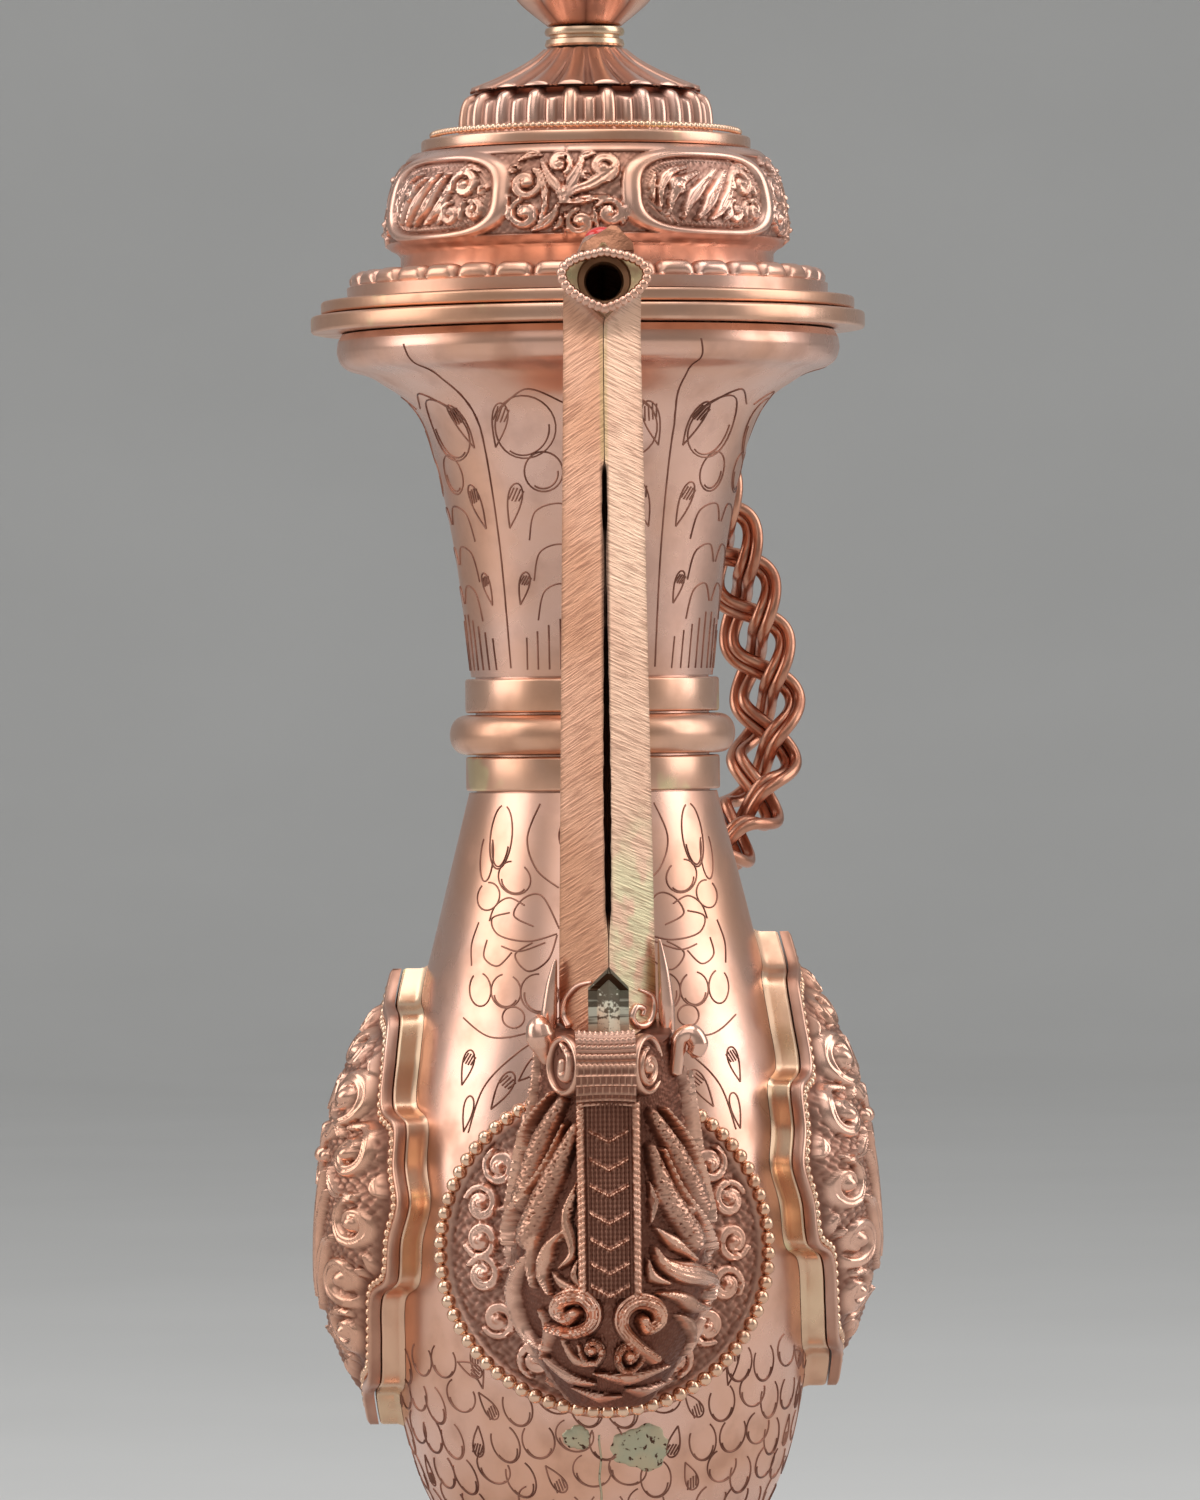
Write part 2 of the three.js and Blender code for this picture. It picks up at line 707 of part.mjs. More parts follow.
function finialCalyx() {
  return lobed(
    [
      [CALYX_BORE, CALYX_START],
      [FINIAL_COLLAR_RADIUS - 0.6, CALYX_START],
      [CALYX_RADIUS - 1.4, CALYX_START + CALYX_HEIGHT * 0.4, CALYX_CUT * 0.6],
      [CALYX_RADIUS, CALYX_START + CALYX_HEIGHT * 0.78, CALYX_CUT],
      [CALYX_RADIUS - 0.7, CALYX_START + CALYX_HEIGHT, CALYX_CUT],
      [BUD_RADIUS, CALYX_START + CALYX_HEIGHT],
      [CALYX_BORE, CALYX_START + CALYX_HEIGHT],
    ],
    CALYX_PETALS,
    3,
  );
}

function finialBud() {
  return turned(
    [
      [0, BUD_START],
      [BUD_RADIUS * 0.9, BUD_START],
      [BUD_RADIUS, BUD_START + BUD_HEIGHT * 0.25],
      [BUD_RADIUS * 0.8, BUD_START + BUD_HEIGHT * 0.55],
      [BUD_RADIUS * 0.35, BUD_START + BUD_HEIGHT * 0.85],
      [0, BUD_START + BUD_HEIGHT],
    ],
    SMALL_ROUND,
  );
}

// Spout
const degrees = (angle) => (angle * Math.PI) / 180;
const LEAN = degrees(SPOUT_LEAN);
const MOUTH_ANGLE = degrees(90 - SPOUT_TILT);
const BEND_LENGTH = SPOUT_BEND_RADIUS * (MOUTH_ANGLE - LEAN);
const SPOUT_END = SPOUT_LENGTH + BEND_LENGTH + SPOUT_REACH;

// Place and direction of the spout's axis at a distance along it
function spoutAxis(distance) {
  const straight = Math.min(distance, SPOUT_LENGTH);
  const turn = Math.min(Math.max(distance - SPOUT_LENGTH, 0), BEND_LENGTH) / SPOUT_BEND_RADIUS;
  const after = Math.max(distance - SPOUT_LENGTH - BEND_LENGTH, 0);
  const angle = LEAN + turn;
  const out =
    SPOUT_DISTANCE +
    straight * Math.sin(LEAN) +
    SPOUT_BEND_RADIUS * (Math.cos(LEAN) - Math.cos(angle)) +
    after * Math.sin(angle);
  const up =
    SPOUT_FOOT_HEIGHT +
    straight * Math.cos(LEAN) +
    SPOUT_BEND_RADIUS * (Math.sin(angle) - Math.sin(LEAN)) +
    after * Math.cos(angle);
  return {
    point: new THREE.Vector3(0, -out, up),
    front: new THREE.Vector3(0, -Math.cos(angle), -Math.sin(angle)),
  };
}

// A ring of the spout's section: the shape gives [sideways, forwards] pairs.
function spoutRing(distance, shape) {
  const { point, front } = spoutAxis(distance);
  return shape.map(([side, ahead]) =>
    point.clone().addScaledVector(front, ahead).add(new THREE.Vector3(side, 0, 0)),
  );
}

// A square on its corner, with a small flat on each fold
function folded(half) {
  const c = Math.min(SPOUT_CORNER, half / 4);
  const h = half - c;
  return [
    [h, c],
    [c, h],
    [-c, h],
    [-h, c],
    [-h, -c],
    [-c, -h],
    [c, -h],
    [h, -c],
  ];
}

const spoutHalf = (distance) =>
  SPOUT_FOOT_HALF +
  (SPOUT_HALF - SPOUT_FOOT_HALF) * Math.min(Math.max(distance / SPOUT_LENGTH, 0), 1);

function spoutStations() {
  const bend = Array.from(
    { length: SPOUT_BEND_STEPS },
    (_, i) => SPOUT_LENGTH + (BEND_LENGTH * (i + 1)) / SPOUT_BEND_STEPS,
  );
  return [0, SPOUT_LENGTH, ...bend, SPOUT_END];
}

function spoutTube() {
  const thickness = SPOUT_WALL * Math.SQRT2;
  const outside = spoutStations().map((s) => spoutRing(s, folded(spoutHalf(s))));
  const inside = spoutStations().map((s) => spoutRing(s, folded(spoutHalf(s) - thickness)));
  return skin([...outside, ...inside.reverse()], true);
}

// The lip's outline: a corner below, round sides and a flattened top
function lipOutline(shrink, steps = 12) {
  return Array.from({ length: steps }, (_, i) => {
    const turn = (2 * Math.PI * i) / steps;
    const side = Math.sin(turn) * Math.abs(Math.sin(turn)) ** 0.15;
    const ahead = Math.cos(turn);
    const height = ahead > 0 ? MOUTH_DROP : MOUTH_LIFT;
    const pull = 1 - 0.12 * Math.abs(Math.sin(2 * turn));
    return [side * (MOUTH_HALF_WIDTH - shrink) * pull, ahead * (height - shrink) * pull];
  });
}

function spoutMouth() {
  const start = SPOUT_END + FIT;
  const end = start + MOUTH_DEPTH;
  const bore = SPOUT_HALF - SPOUT_WALL * Math.SQRT2;
  const root = (half) =>
    lipOutline(0).map(([side, ahead]) => {
      const run = Math.hypot(side, ahead);
      return [(side * half) / run, (ahead * half) / run];
    });
  const reach = SPOUT_HALF * 0.78;
  return skin(
    [
      spoutRing(start, root(reach)),
      spoutRing(end - 0.9, lipOutline(0)),
      spoutRing(end, lipOutline(0)),
      spoutRing(end, lipOutline(2 * LIP_BEAD_RADIUS)),
      spoutRing(start + 0.8, root(bore * 0.82)),
      spoutRing(start, root(bore * 0.82)),
    ],
    true,
  );
}

function spoutLipBeads() {
  const middle = SPOUT_END + FIT + MOUTH_DEPTH + FIT + LIP_BEAD_RADIUS;
  const out = spoutAxis(SPOUT_END).front.clone().cross(new THREE.Vector3(1, 0, 0));
  const outline = lipOutline(LIP_BEAD_RADIUS, 2 * LIP_BEADS);
  const line = spoutRing(middle, outline).map((point) => ({ point, out }));
  return beadedWire(line, LIP_BEAD_RADIUS);
}

// The stone's cup stands on the crest of the bend.
const STONE_STATION = SPOUT_LENGTH + BEND_LENGTH * 0.86;
function onCrest(geometry, rise) {
  const { point, front } = spoutAxis(STONE_STATION);
  const up = front.clone().negate();
  const turn = new THREE.Quaternion().setFromUnitVectors(new THREE.Vector3(0, 0, 1), up);
  const place = point.clone().addScaledVector(up, rise);
  return geometry.applyQuaternion(turn).translate(place.x, place.y, place.z);
}

function spoutBezel() {
  const outer = STONE_RADIUS + FIT + BEZEL_WALL;
  const seat = BEZEL_HEIGHT * 0.45;
  const cup = turned(
    [
      [0, -BEZEL_ROOT],
      [outer, -BEZEL_ROOT],
      [outer, BEZEL_HEIGHT],
      [STONE_RADIUS + FIT, BEZEL_HEIGHT],
      [STONE_RADIUS + FIT, seat],
      [0, seat],
    ],
    12,
  );
  const tube = skin(
    spoutStations().map((s) => spoutRing(s, folded(spoutHalf(s) + FIT * Math.SQRT2))),
    false,
  );
  return cut(onCrest(cup, SPOUT_HALF), tube);
}

function spoutCabochon() {
  const start = BEZEL_HEIGHT * 0.45 + FIT;
  const dome = turned(
    [
      [0, start],
      [STONE_RADIUS, start],
      [STONE_RADIUS, start + STONE_HEIGHT * 0.5],
      [STONE_RADIUS * 0.7, start + STONE_HEIGHT * 0.85],
      [0, start + STONE_HEIGHT],
    ],
    12,
  );
  return onCrest(dome, SPOUT_HALF);
}

// A point over the belly: u runs round it, v is a height, and lift stands off it.
function onBelly(azimuth, u, v, lift) {
  const reach = radiusAt(bellyLine, v) + lift;
  const angle = azimuth + u / (BELLY_RADIUS + SIDE_STANDOFF);
  return new THREE.Vector3(reach * Math.sin(angle), -reach * Math.cos(angle), v);
}

const FRONT = 0;
const RIGHT = Math.PI / 2;
const LEFT = -Math.PI / 2;

const roundOutline = Array.from({ length: FRONT_STEPS }, (_, i) => {
  const turn = (2 * Math.PI * i) / FRONT_STEPS;
  return [FRONT_HALF_WIDTH * Math.sin(turn), FRONT_HALF_HEIGHT * Math.cos(turn)];
});

// One quarter of the side plaques' bracket outline, as shares of the half sizes
const BRACKET = [
  [0, 1],
  [0.2, 0.86],
  [0.46, 0.79],
  [0.58, 0.62],
  [0.66, 0.42],
  [0.88, 0.34],
  [0.92, 0.16],
];

const bracketOutline = [0, 1, 2, 3].flatMap((quarter) => {
  const points = quarter % 2 ? [[1, 0], ...BRACKET.slice(1).reverse()] : BRACKET;
  const side = quarter < 2 ? 1 : -1;
  const rise = quarter === 0 || quarter === 3 ? 1 : -1;
  return points.map(([u, v]) => [side * u * SIDE_HALF_WIDTH, rise * v * SIDE_HALF_HEIGHT]);
});

// The standing collar under a plate
function medallionCollar(outline, azimuth, centre, height) {
  const rings = outline.map(([u, v]) => {
    const inner = 1 - COLLAR_WALL / Math.hypot(u, v);
    const corner = (share, lift) => onBelly(azimuth, u * share, centre + v * share, lift);
    return [corner(1, FIT), corner(1, height), corner(inner, height), corner(inner, FIT)];
  });
  return skin(rings, true);
}

// A repoussé plate: layers of [share of the outline, lift, depth of the lobes], back to front
function reliefPlate(outline, azimuth, centre, layers) {
  const rings = layers.map(([share, lift, lobe = 0]) =>
    outline.map(([u, v], i) =>
      onBelly(azimuth, u * share, centre + v * share, lift + (i % 2 ? lobe : 0)),
    ),
  );
  return skin(rings, false);
}

function frontPlate() {
  const back = FRONT_STANDOFF + FIT;
  const face = back + PLATE_THICKNESS;
  const plate = reliefPlate(roundOutline, FRONT, FRONT_CENTRE, [
    [0.1, back],
    [0.55, back],
    [1, back],
    [1, face],
    [0.89, face],
    [0.78, face, FRONT_CURL_RELIEF],
    [0.64, face],
    [0.1, face],
  ]);
  return cut(plate, feedHole());
}

function frontBeadWire() {
  const lift = FRONT_STANDOFF + FIT + PLATE_THICKNESS + FIT + FRONT_BEAD_RADIUS;
  const line = Array.from({ length: 2 * FRONT_BEADS }, (_, i) => {
    const turn = (Math.PI * i) / FRONT_BEADS;
    const u = (FRONT_HALF_WIDTH - FRONT_BEAD_RADIUS) * Math.sin(turn);
    const v = FRONT_CENTRE + (FRONT_HALF_HEIGHT - FRONT_BEAD_RADIUS) * Math.cos(turn);
    const point = onBelly(FRONT, u, v, lift);
    const out = new THREE.Vector3(point.x, point.y, 0).normalize();
    return { point, out };
  });
  return beadedWire(line, FRONT_BEAD_RADIUS);
}

function sidePlaque(azimuth, centre) {
  const back = SIDE_STANDOFF + FIT;
  const face = back + PLATE_THICKNESS;
  return reliefPlate(bracketOutline, azimuth, centre, [
    [0.12, back],
    [0.55, back],
    [1, back],
    [1, face],
    [0.92, face],
    [0.84, face + SIDE_RELIEF * 0.35, SIDE_LOBE_RELIEF],
    [0.7, face + SIDE_RELIEF * 0.62, -SIDE_LOBE_RELIEF],
    [0.55, face + SIDE_RELIEF * 0.8, SIDE_LOBE_RELIEF],
    [0.34, face + SIDE_RELIEF * 0.95, -SIDE_LOBE_RELIEF],
    [0.12, face + SIDE_RELIEF],
  ]);
}

// Makara head, in [sideways, out from the vase's axis, height]
const at = (side, out, height) => new THREE.Vector3(side, -out, height);

function headCore() {
  const throat = SPOUT_FOOT_HALF + HEAD_WALL;
  const levels = [
    [0, 0.6, SPOUT_DISTANCE + 1.3, throat],
    [0.16, 0.7, SPOUT_DISTANCE + 1, throat + 1],
    [0.33, 0.82, SPOUT_DISTANCE - 2, throat + 4.5],
    [0.52, 0.96, SPOUT_DISTANCE - 4, throat + 8],
    [0.72, 1, SPOUT_DISTANCE - 5, throat + 8],
    [0.89, 0.8, SPOUT_DISTANCE - 7, throat + 4.5],
    [1, 0.45, SPOUT_DISTANCE - 10, throat - 1],
  ];
  const rings = levels.map(([drop, width, middle, depth]) =>
    Array.from({ length: 10 }, (_, i) => {
      const turn = (2 * Math.PI * i) / 10;
      const side = HEAD_HALF_WIDTH * width * Math.sin(turn);
      return at(side, middle + depth * Math.cos(turn), HEAD_TOP - HEAD_HEIGHT * drop);
    }),
  );
  return skin(rings, false);
}

function trunkRoll() {
  const end = TRUNK_RADIUS * 1.08;
  const waist = TRUNK_RADIUS * 0.92;
  const boss = TRUNK_HALF_LENGTH * 0.66;
  return turned(
    [
      [0, -TRUNK_HALF_LENGTH],
      [end * 0.8, -TRUNK_HALF_LENGTH],
      [end, -TRUNK_HALF_LENGTH + 1],
      [end, -boss],
      [waist, -boss + 0.8],
      [waist, boss - 0.8],
      [end, boss],
      [end, TRUNK_HALF_LENGTH - 1],
      [end * 0.8, TRUNK_HALF_LENGTH],
      [0, TRUNK_HALF_LENGTH],
    ],
    12,
  )
    .rotateY(Math.PI / 2)
    .translate(0, -(HEAD_REACH - 3), HEAD_TOP - TRUNK_DROP);
}

// A leaf-like lobe of the mane from one point to another
function lobe(from, to, thickness) {
  const along = to.clone().sub(from);
  const length = along.length();
  const turn = new THREE.Quaternion().setFromUnitVectors(
    new THREE.Vector3(0, 1, 0),
    along.normalize(),
  );
  const middle = from.clone().addScaledVector(along, length / 2);
  return new THREE.SphereGeometry(1, 6, 5)
    .scale(thickness, length / 2, thickness)
    .applyQuaternion(turn)
    .translate(middle.x, middle.y, middle.z);
}

function faceBand() {
  const levels = [0.2, 0.4, 0.56, 0.72];
  const reaches = [HEAD_REACH - 3.4, HEAD_REACH - 1.2, HEAD_REACH, HEAD_REACH];
  const rings = levels.map((drop, i) => {
    const height = HEAD_TOP - HEAD_HEIGHT * drop;
    return [
      at(-BAND_HALF_WIDTH, reaches[i], height),
      at(BAND_HALF_WIDTH, reaches[i], height),
      at(BAND_HALF_WIDTH, reaches[i] - BAND_DEPTH, height),
      at(-BAND_HALF_WIDTH, reaches[i] - BAND_DEPTH, height),
    ];
  });
  return skin(rings, false);
}

// A place on the head: sideways and back from its front in half widths, down in head heights
const onHead = (share, back, drop) =>
  at(HEAD_HALF_WIDTH * share, HEAD_REACH - HEAD_HALF_WIDTH * back, HEAD_TOP - HEAD_HEIGHT * drop);

// Fins, mane and nostril scrolls of one side
function maneOf(side) {
  return [
    lobe(onHead(side * 0.5, 0.3, 0.26), onHead(side * 1.02, 0.72, 0.5), FIN_RADIUS),
    lobe(onHead(side * 0.42, 0.18, 0.36), onHead(side * 0.95, 0.42, 0.64), FIN_RADIUS),
    lobe(onHead(side * 0.55, 0.18, 0.6), onHead(side * 1.05, 0.72, 0.86), MANE_RADIUS),
    lobe(onHead(side * 0.1, 0.24, 0.78), onHead(side * 0.52, 0.24, 0.78), VOLUTE_RADIUS),
    lobe(onHead(side * 0.6, 0.6, 0.02), onHead(side * 0.86, 0.48, 0.12), EAR_RADIUS),
  ];
}

function makaraHead() {
  const chin = lobe(onHead(-0.4, 0.72, 0.97), onHead(0.4, 0.72, 0.97), MANE_RADIUS);
  const whole = join(headCore(), trunkRoll(), faceBand(), chin, ...maneOf(-1), ...maneOf(1));
  const clearOfPlate = FRONT_STANDOFF + FIT + PLATE_THICKNESS + FRONT_CURL_RELIEF + FIT;
  const socket = skin(
    [0, SOCKET_REACH].map((s) => spoutRing(s - FIT, folded(spoutHalf(s) + FIT * Math.SQRT2))),
    false,
  );
  return cut(whole, coreOf(bellyLine, clearOfPlate), socket, join(feedHole(), feedShaft()));
}

// Handle
const HANDLE_TURN = degrees(HANDLE_AZIMUTH);
const HANDLE_RISE = HANDLE_TOP - HANDLE_BOTTOM;
const handleOut = (out, height) =>
  new THREE.Vector3(out * Math.sin(HANDLE_TURN), out * Math.cos(HANDLE_TURN), height);
const UPPER_END = radiusAt(neckLine, HANDLE_TOP) + UPPER_STANDOFF;
const LOWER_END = radiusAt(bellyLine, HANDLE_BOTTOM) + LOWER_STANDOFF;
const handleLine = new THREE.CatmullRomCurve3(
  [
    [UPPER_END, 1],
    [UPPER_END + (HANDLE_REACH - UPPER_END) * 0.26, 0.88],
    [UPPER_END + (HANDLE_REACH - UPPER_END) * 0.68, 0.68],
    [HANDLE_REACH, 0.4],
    [LOWER_END + (HANDLE_REACH - LOWER_END) * 0.84, 0.19],
    [LOWER_END + (HANDLE_REACH - LOWER_END) * 0.4, 0.06],
    [LOWER_END, 0],
  ].map(([out, share]) => handleOut(out, HANDLE_BOTTOM + HANDLE_RISE * share)),
);

// The plait's own directions at a share of its length: along it, across it and away from the vase
function handleFrame(share) {
  const point = handleLine.getPointAt(share);
  const along = handleLine.getTangentAt(share);
  const across = new THREE.Vector3(Math.cos(HANDLE_TURN), -Math.sin(HANDLE_TURN), 0);
  const away = new THREE.Vector3().crossVectors(across, along).normalize();
  return { point, along, across, away };
}

// A strand crosses to each side once in a cycle and dips under or over twice.
function strandPoint(share, strand) {
  const { point, across, away } = handleFrame(Math.min(Math.max(share, 0), 1));
  const turn = 2 * Math.PI * (PLAIT_CYCLES * share + strand / 3);
  return point
    .clone()
    .addScaledVector(across, PLAIT_HALF_WIDTH * Math.sin(turn))
    .addScaledVector(away, PLAIT_HALF_DEPTH * Math.sin(2 * turn));
}

// Two wires side by side
const DOUBLED_WIRE = [
  [2, 0],
  [1.1, 1],
  [0, 0.5],
  [-1.1, 1],
  [-2, 0],
  [-1.1, -1],
  [0, -0.5],
  [1.1, -1],
];

function handleStrand(strand) {
  const rings = Array.from({ length: PLAIT_STEPS + 1 }, (_, i) => {
    const share = i / PLAIT_STEPS;
    const step = 0.25 / PLAIT_STEPS;
    const plait = handleFrame(share);
    const middle = strandPoint(share, strand);
    const before = strandPoint(Math.max(share - step, 0), strand);
    const after = strandPoint(Math.min(share + step, 1), strand);
    const atEnd = i === 0 || i === PLAIT_STEPS;
    const along = atEnd ? plait.along : after.sub(before).normalize();
    const across = new THREE.Vector3().crossVectors(along, plait.away).normalize();
    const up = new THREE.Vector3().crossVectors(across, along);
    return DOUBLED_WIRE.map(([a, b]) =>
      middle
        .clone()
        .addScaledVector(across, a * WIRE_RADIUS)
        .addScaledVector(up, b * WIRE_RADIUS),
    );
  });
  return skin(rings, false);
}

// The pad that each end of the plait is soldered to, shaped to the vessel behind it
function handleSeat(share, line, standoff) {
  const { point, along, across, away } = handleFrame(share);
  const inwards = along.clone().multiplyScalar(share === 0 ? -1 : 1);
  const ring = (depth, scale) =>
    Array.from({ length: 12 }, (_, i) => {
      const turn = (2 * Math.PI * i) / 12;
      return point
        .clone()
        .addScaledVector(inwards, depth)
        .addScaledVector(across, SEAT_HALF_WIDTH * scale * Math.cos(turn))
        .addScaledVector(away, SEAT_HALF_DEPTH * scale * Math.sin(turn));
    });
  const ontoWall = (p) => {
    const reach = (radiusAt(line, p.z) + FIT) / Math.hypot(p.x, p.y);
    return new THREE.Vector3(p.x * reach, p.y * reach, p.z);
  };
  const wall = [1, 0.55, 0.15].map((scale) => ring(standoff, scale).map(ontoWall));
  return skin([ring(FIT, 0.85), ring(FIT + SEAT_EDGE, 1), ...wall], false);
}

// Assembly
const basePlateRadius = FOOT_RIM_RADIUS - FOOT_RIM_WIDTH - FIT;
addPiece("foot_base_plate", disc(basePlateRadius, 0, BASE_PLATE_THICKNESS), SHEET_COPPER);
addPiece("foot_rim", footRim(), SHEET_COPPER);
addPiece("foot_lotus", footLotus(), CAST_COPPER);
addPiece("foot_flare", footFlare(), SHEET_COPPER);
addPiece("stem_knop", stemKnop(), BRASS);
addPiece("body_shell", bodyShell(), SHEET_COPPER);
addPiece("collar_lower_band", collarBand(LOWER_BAND_START), BRASS);
addPiece("collar_ring", collarRing(), SHEET_COPPER);
addPiece("collar_upper_band", collarBand(UPPER_BAND_START), BRASS);
addPiece("neck_shell", neckShell(), SHEET_COPPER);
addPiece("rim_flange", flange(MOUTH_RADIUS, RIM_RADIUS, RIM_START, RIM_THICKNESS), BRASS);

const frontCollar = medallionCollar(roundOutline, FRONT, FRONT_CENTRE, FRONT_STANDOFF);
addPiece("front_medallion_collar", frontCollar, BRASS);
addPiece("front_medallion_plate", frontPlate(), CAST_COPPER);
addPiece("front_medallion_bead_wire", frontBeadWire(), BRASS);
for (const [name, azimuth, centre] of [
  ["left", LEFT, LEFT_CENTRE],
  ["right", RIGHT, RIGHT_CENTRE],
]) {
  const collar = medallionCollar(bracketOutline, azimuth, centre, SIDE_STANDOFF);
  addPiece(`${name}_medallion_collar`, collar, BRASS);
  addPiece(`${name}_medallion_plaque`, sidePlaque(azimuth, centre), CAST_COPPER);
}
addPiece("makara_head", makaraHead(), CAST_COPPER);

addPiece("spout_tube", spoutTube(), SHEET_COPPER);
addPiece("spout_mouth", spoutMouth(), BRASS);
addPiece("spout_lip_beads", spoutLipBeads(), CAST_COPPER);
addPiece("spout_bezel", spoutBezel(), CAST_COPPER);
addPiece("spout_cabochon", spoutCabochon(), RED_STONE);

for (const strand of [0, 1, 2]) {
  addPiece(`handle_strand_${strand + 1}`, handleStrand(strand), WIRE_COPPER);
}
addPiece("handle_upper_seat", handleSeat(0, neckLine, UPPER_STANDOFF), CAST_COPPER);
addPiece("handle_lower_seat", handleSeat(1, bellyLine, LOWER_STANDOFF), CAST_COPPER);

addPiece("lid_flange", flange(0, LID_RADIUS, LID_START, LID_THICKNESS), BRASS, lid);
addPiece("lid_sleeve", lidSleeve(), SHEET_COPPER, lid);
addPiece("lid_petal_ring", lidPetalRing(), SHEET_COPPER, lid);
addPiece("lid_drum", lidDrum(), SHEET_COPPER, lid);
addPiece("lid_top_plate", disc(TOP_PLATE_RADIUS, TOP_PLATE_START, TOP_PLATE_THICKNESS), BRASS, lid);
addPiece("lid_bead_ring", lidBeadRing(), BRASS, lid);
addPiece("lid_lotus_crown", lidCrown(), SHEET_COPPER, lid);
addPiece("lid_fluted_dome", lidDome(), SHEET_COPPER, lid);
addPiece("finial_collar", finialCollar(), BRASS, lid);
addPiece("finial_calyx", finialCalyx(), CAST_COPPER, lid);
addPiece("finial_bud", finialBud(), CAST_COPPER, lid);

export default ewer;
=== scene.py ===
# A Himalayan ritual ewer (bumpa) in hammered and cast copper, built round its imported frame.
# Shapes are written in millimetres and turned into metres when a mesh is made.
import math

import bmesh
import bpy
import numpy as np
from mathutils import Euler, Matrix, Vector


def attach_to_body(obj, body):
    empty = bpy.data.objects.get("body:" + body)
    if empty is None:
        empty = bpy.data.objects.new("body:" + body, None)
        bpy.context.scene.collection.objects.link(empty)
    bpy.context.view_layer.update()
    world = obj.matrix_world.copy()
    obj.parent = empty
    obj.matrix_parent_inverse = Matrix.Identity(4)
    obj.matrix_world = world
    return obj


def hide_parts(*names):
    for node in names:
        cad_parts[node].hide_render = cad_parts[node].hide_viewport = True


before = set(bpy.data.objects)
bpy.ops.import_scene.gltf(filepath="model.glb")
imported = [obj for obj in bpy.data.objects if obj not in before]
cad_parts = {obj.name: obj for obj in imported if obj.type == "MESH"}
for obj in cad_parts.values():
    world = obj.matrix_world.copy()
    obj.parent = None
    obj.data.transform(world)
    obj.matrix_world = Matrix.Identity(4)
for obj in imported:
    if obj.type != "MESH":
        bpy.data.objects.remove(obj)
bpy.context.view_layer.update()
MM = 0.001

# The set: a pale floor that rises all round into the wall of a wide bowl, a soft light on each
# side, one overhead and one in front, and a long lens at the photograph's height and direction.
CAMERA_DISTANCE = 1.4
CAMERA_HEIGHT = 0.1803
AIM_HEIGHT = 0.1721
AIM_RIGHT = 0.0012
CAMERA_AZIMUTH = math.radians(-1.9)
CAMERA_ROLL = math.radians(0.65)
LENS = 204
SENSOR = 36
CLIP = (0.05, 20)


def linked(name, data):
    """A new object of the data, in the scene."""
    made = bpy.data.objects.new(name, data)
    bpy.context.scene.collection.objects.link(made)
    return made


camera_data = bpy.data.cameras.new("camera")
camera_data.lens, camera_data.sensor_width = LENS, SENSOR
camera_data.clip_start, camera_data.clip_end = CLIP
camera = linked("camera", camera_data)
tilt = math.pi / 2 - math.atan((CAMERA_HEIGHT - AIM_HEIGHT) / CAMERA_DISTANCE)
level = Euler((tilt, 0, CAMERA_AZIMUTH)).to_matrix()
camera.rotation_euler = (level @ Matrix.Rotation(-CAMERA_ROLL, 3, "Z")).to_euler()
sine, cosine = math.sin(CAMERA_AZIMUTH), math.cos(CAMERA_AZIMUTH)
camera.location = (
    CAMERA_DISTANCE * sine + AIM_RIGHT * cosine,
    -CAMERA_DISTANCE * cosine + AIM_RIGHT * sine,
    CAMERA_HEIGHT,
)
bpy.context.scene.camera = camera

LIGHT_AIM = (0, 0, 0.17)
for name, place, width, height, watts in (
    ("left_light", (-1.3, -0.1, 0.75), 0.9, 1.3, 8),
    ("right_light", (1.3, -0.05, 0.75), 0.9, 1.3, 8),
    ("top_light", (0, -0.2, 1.0), 0.7, 0.6, 3),
    ("front_light", (-0.5, -1.9, 1.6), 2.0, 1.6, 8),
):
    light = bpy.data.lights.new(name, "AREA")
    light.shape = "RECTANGLE"
    light.size, light.size_y, light.energy = width, height, watts
    lamp = linked(name, light)
    lamp.location = place
    towards = Vector(np.subtract(LIGHT_AIM, place))
    lamp.rotation_euler = towards.to_track_quat("-Z", "Y").to_euler()

world = bpy.data.worlds.new("room")
world.use_nodes = True
background = world.node_tree.nodes["Background"].inputs
background["Color"].default_value = (0.5, 0.5, 0.5, 1)
background["Strength"].default_value = 0.95
bpy.context.scene.world = world
bpy.context.scene.view_settings.view_transform = "Standard"


def mesh_object(name, points_mm, faces, smooth_degrees=40):
    """A named mesh from points in millimetres, smooth but for edges sharper than the angle."""
    mesh = bpy.data.meshes.new(name)
    mesh.from_pydata((np.asarray(points_mm, float) * MM).tolist(), [], faces)
    mesh.validate()
    mesh.shade_smooth()
    mesh.set_sharp_from_angle(angle=math.radians(smooth_degrees))
    return linked(name, mesh)


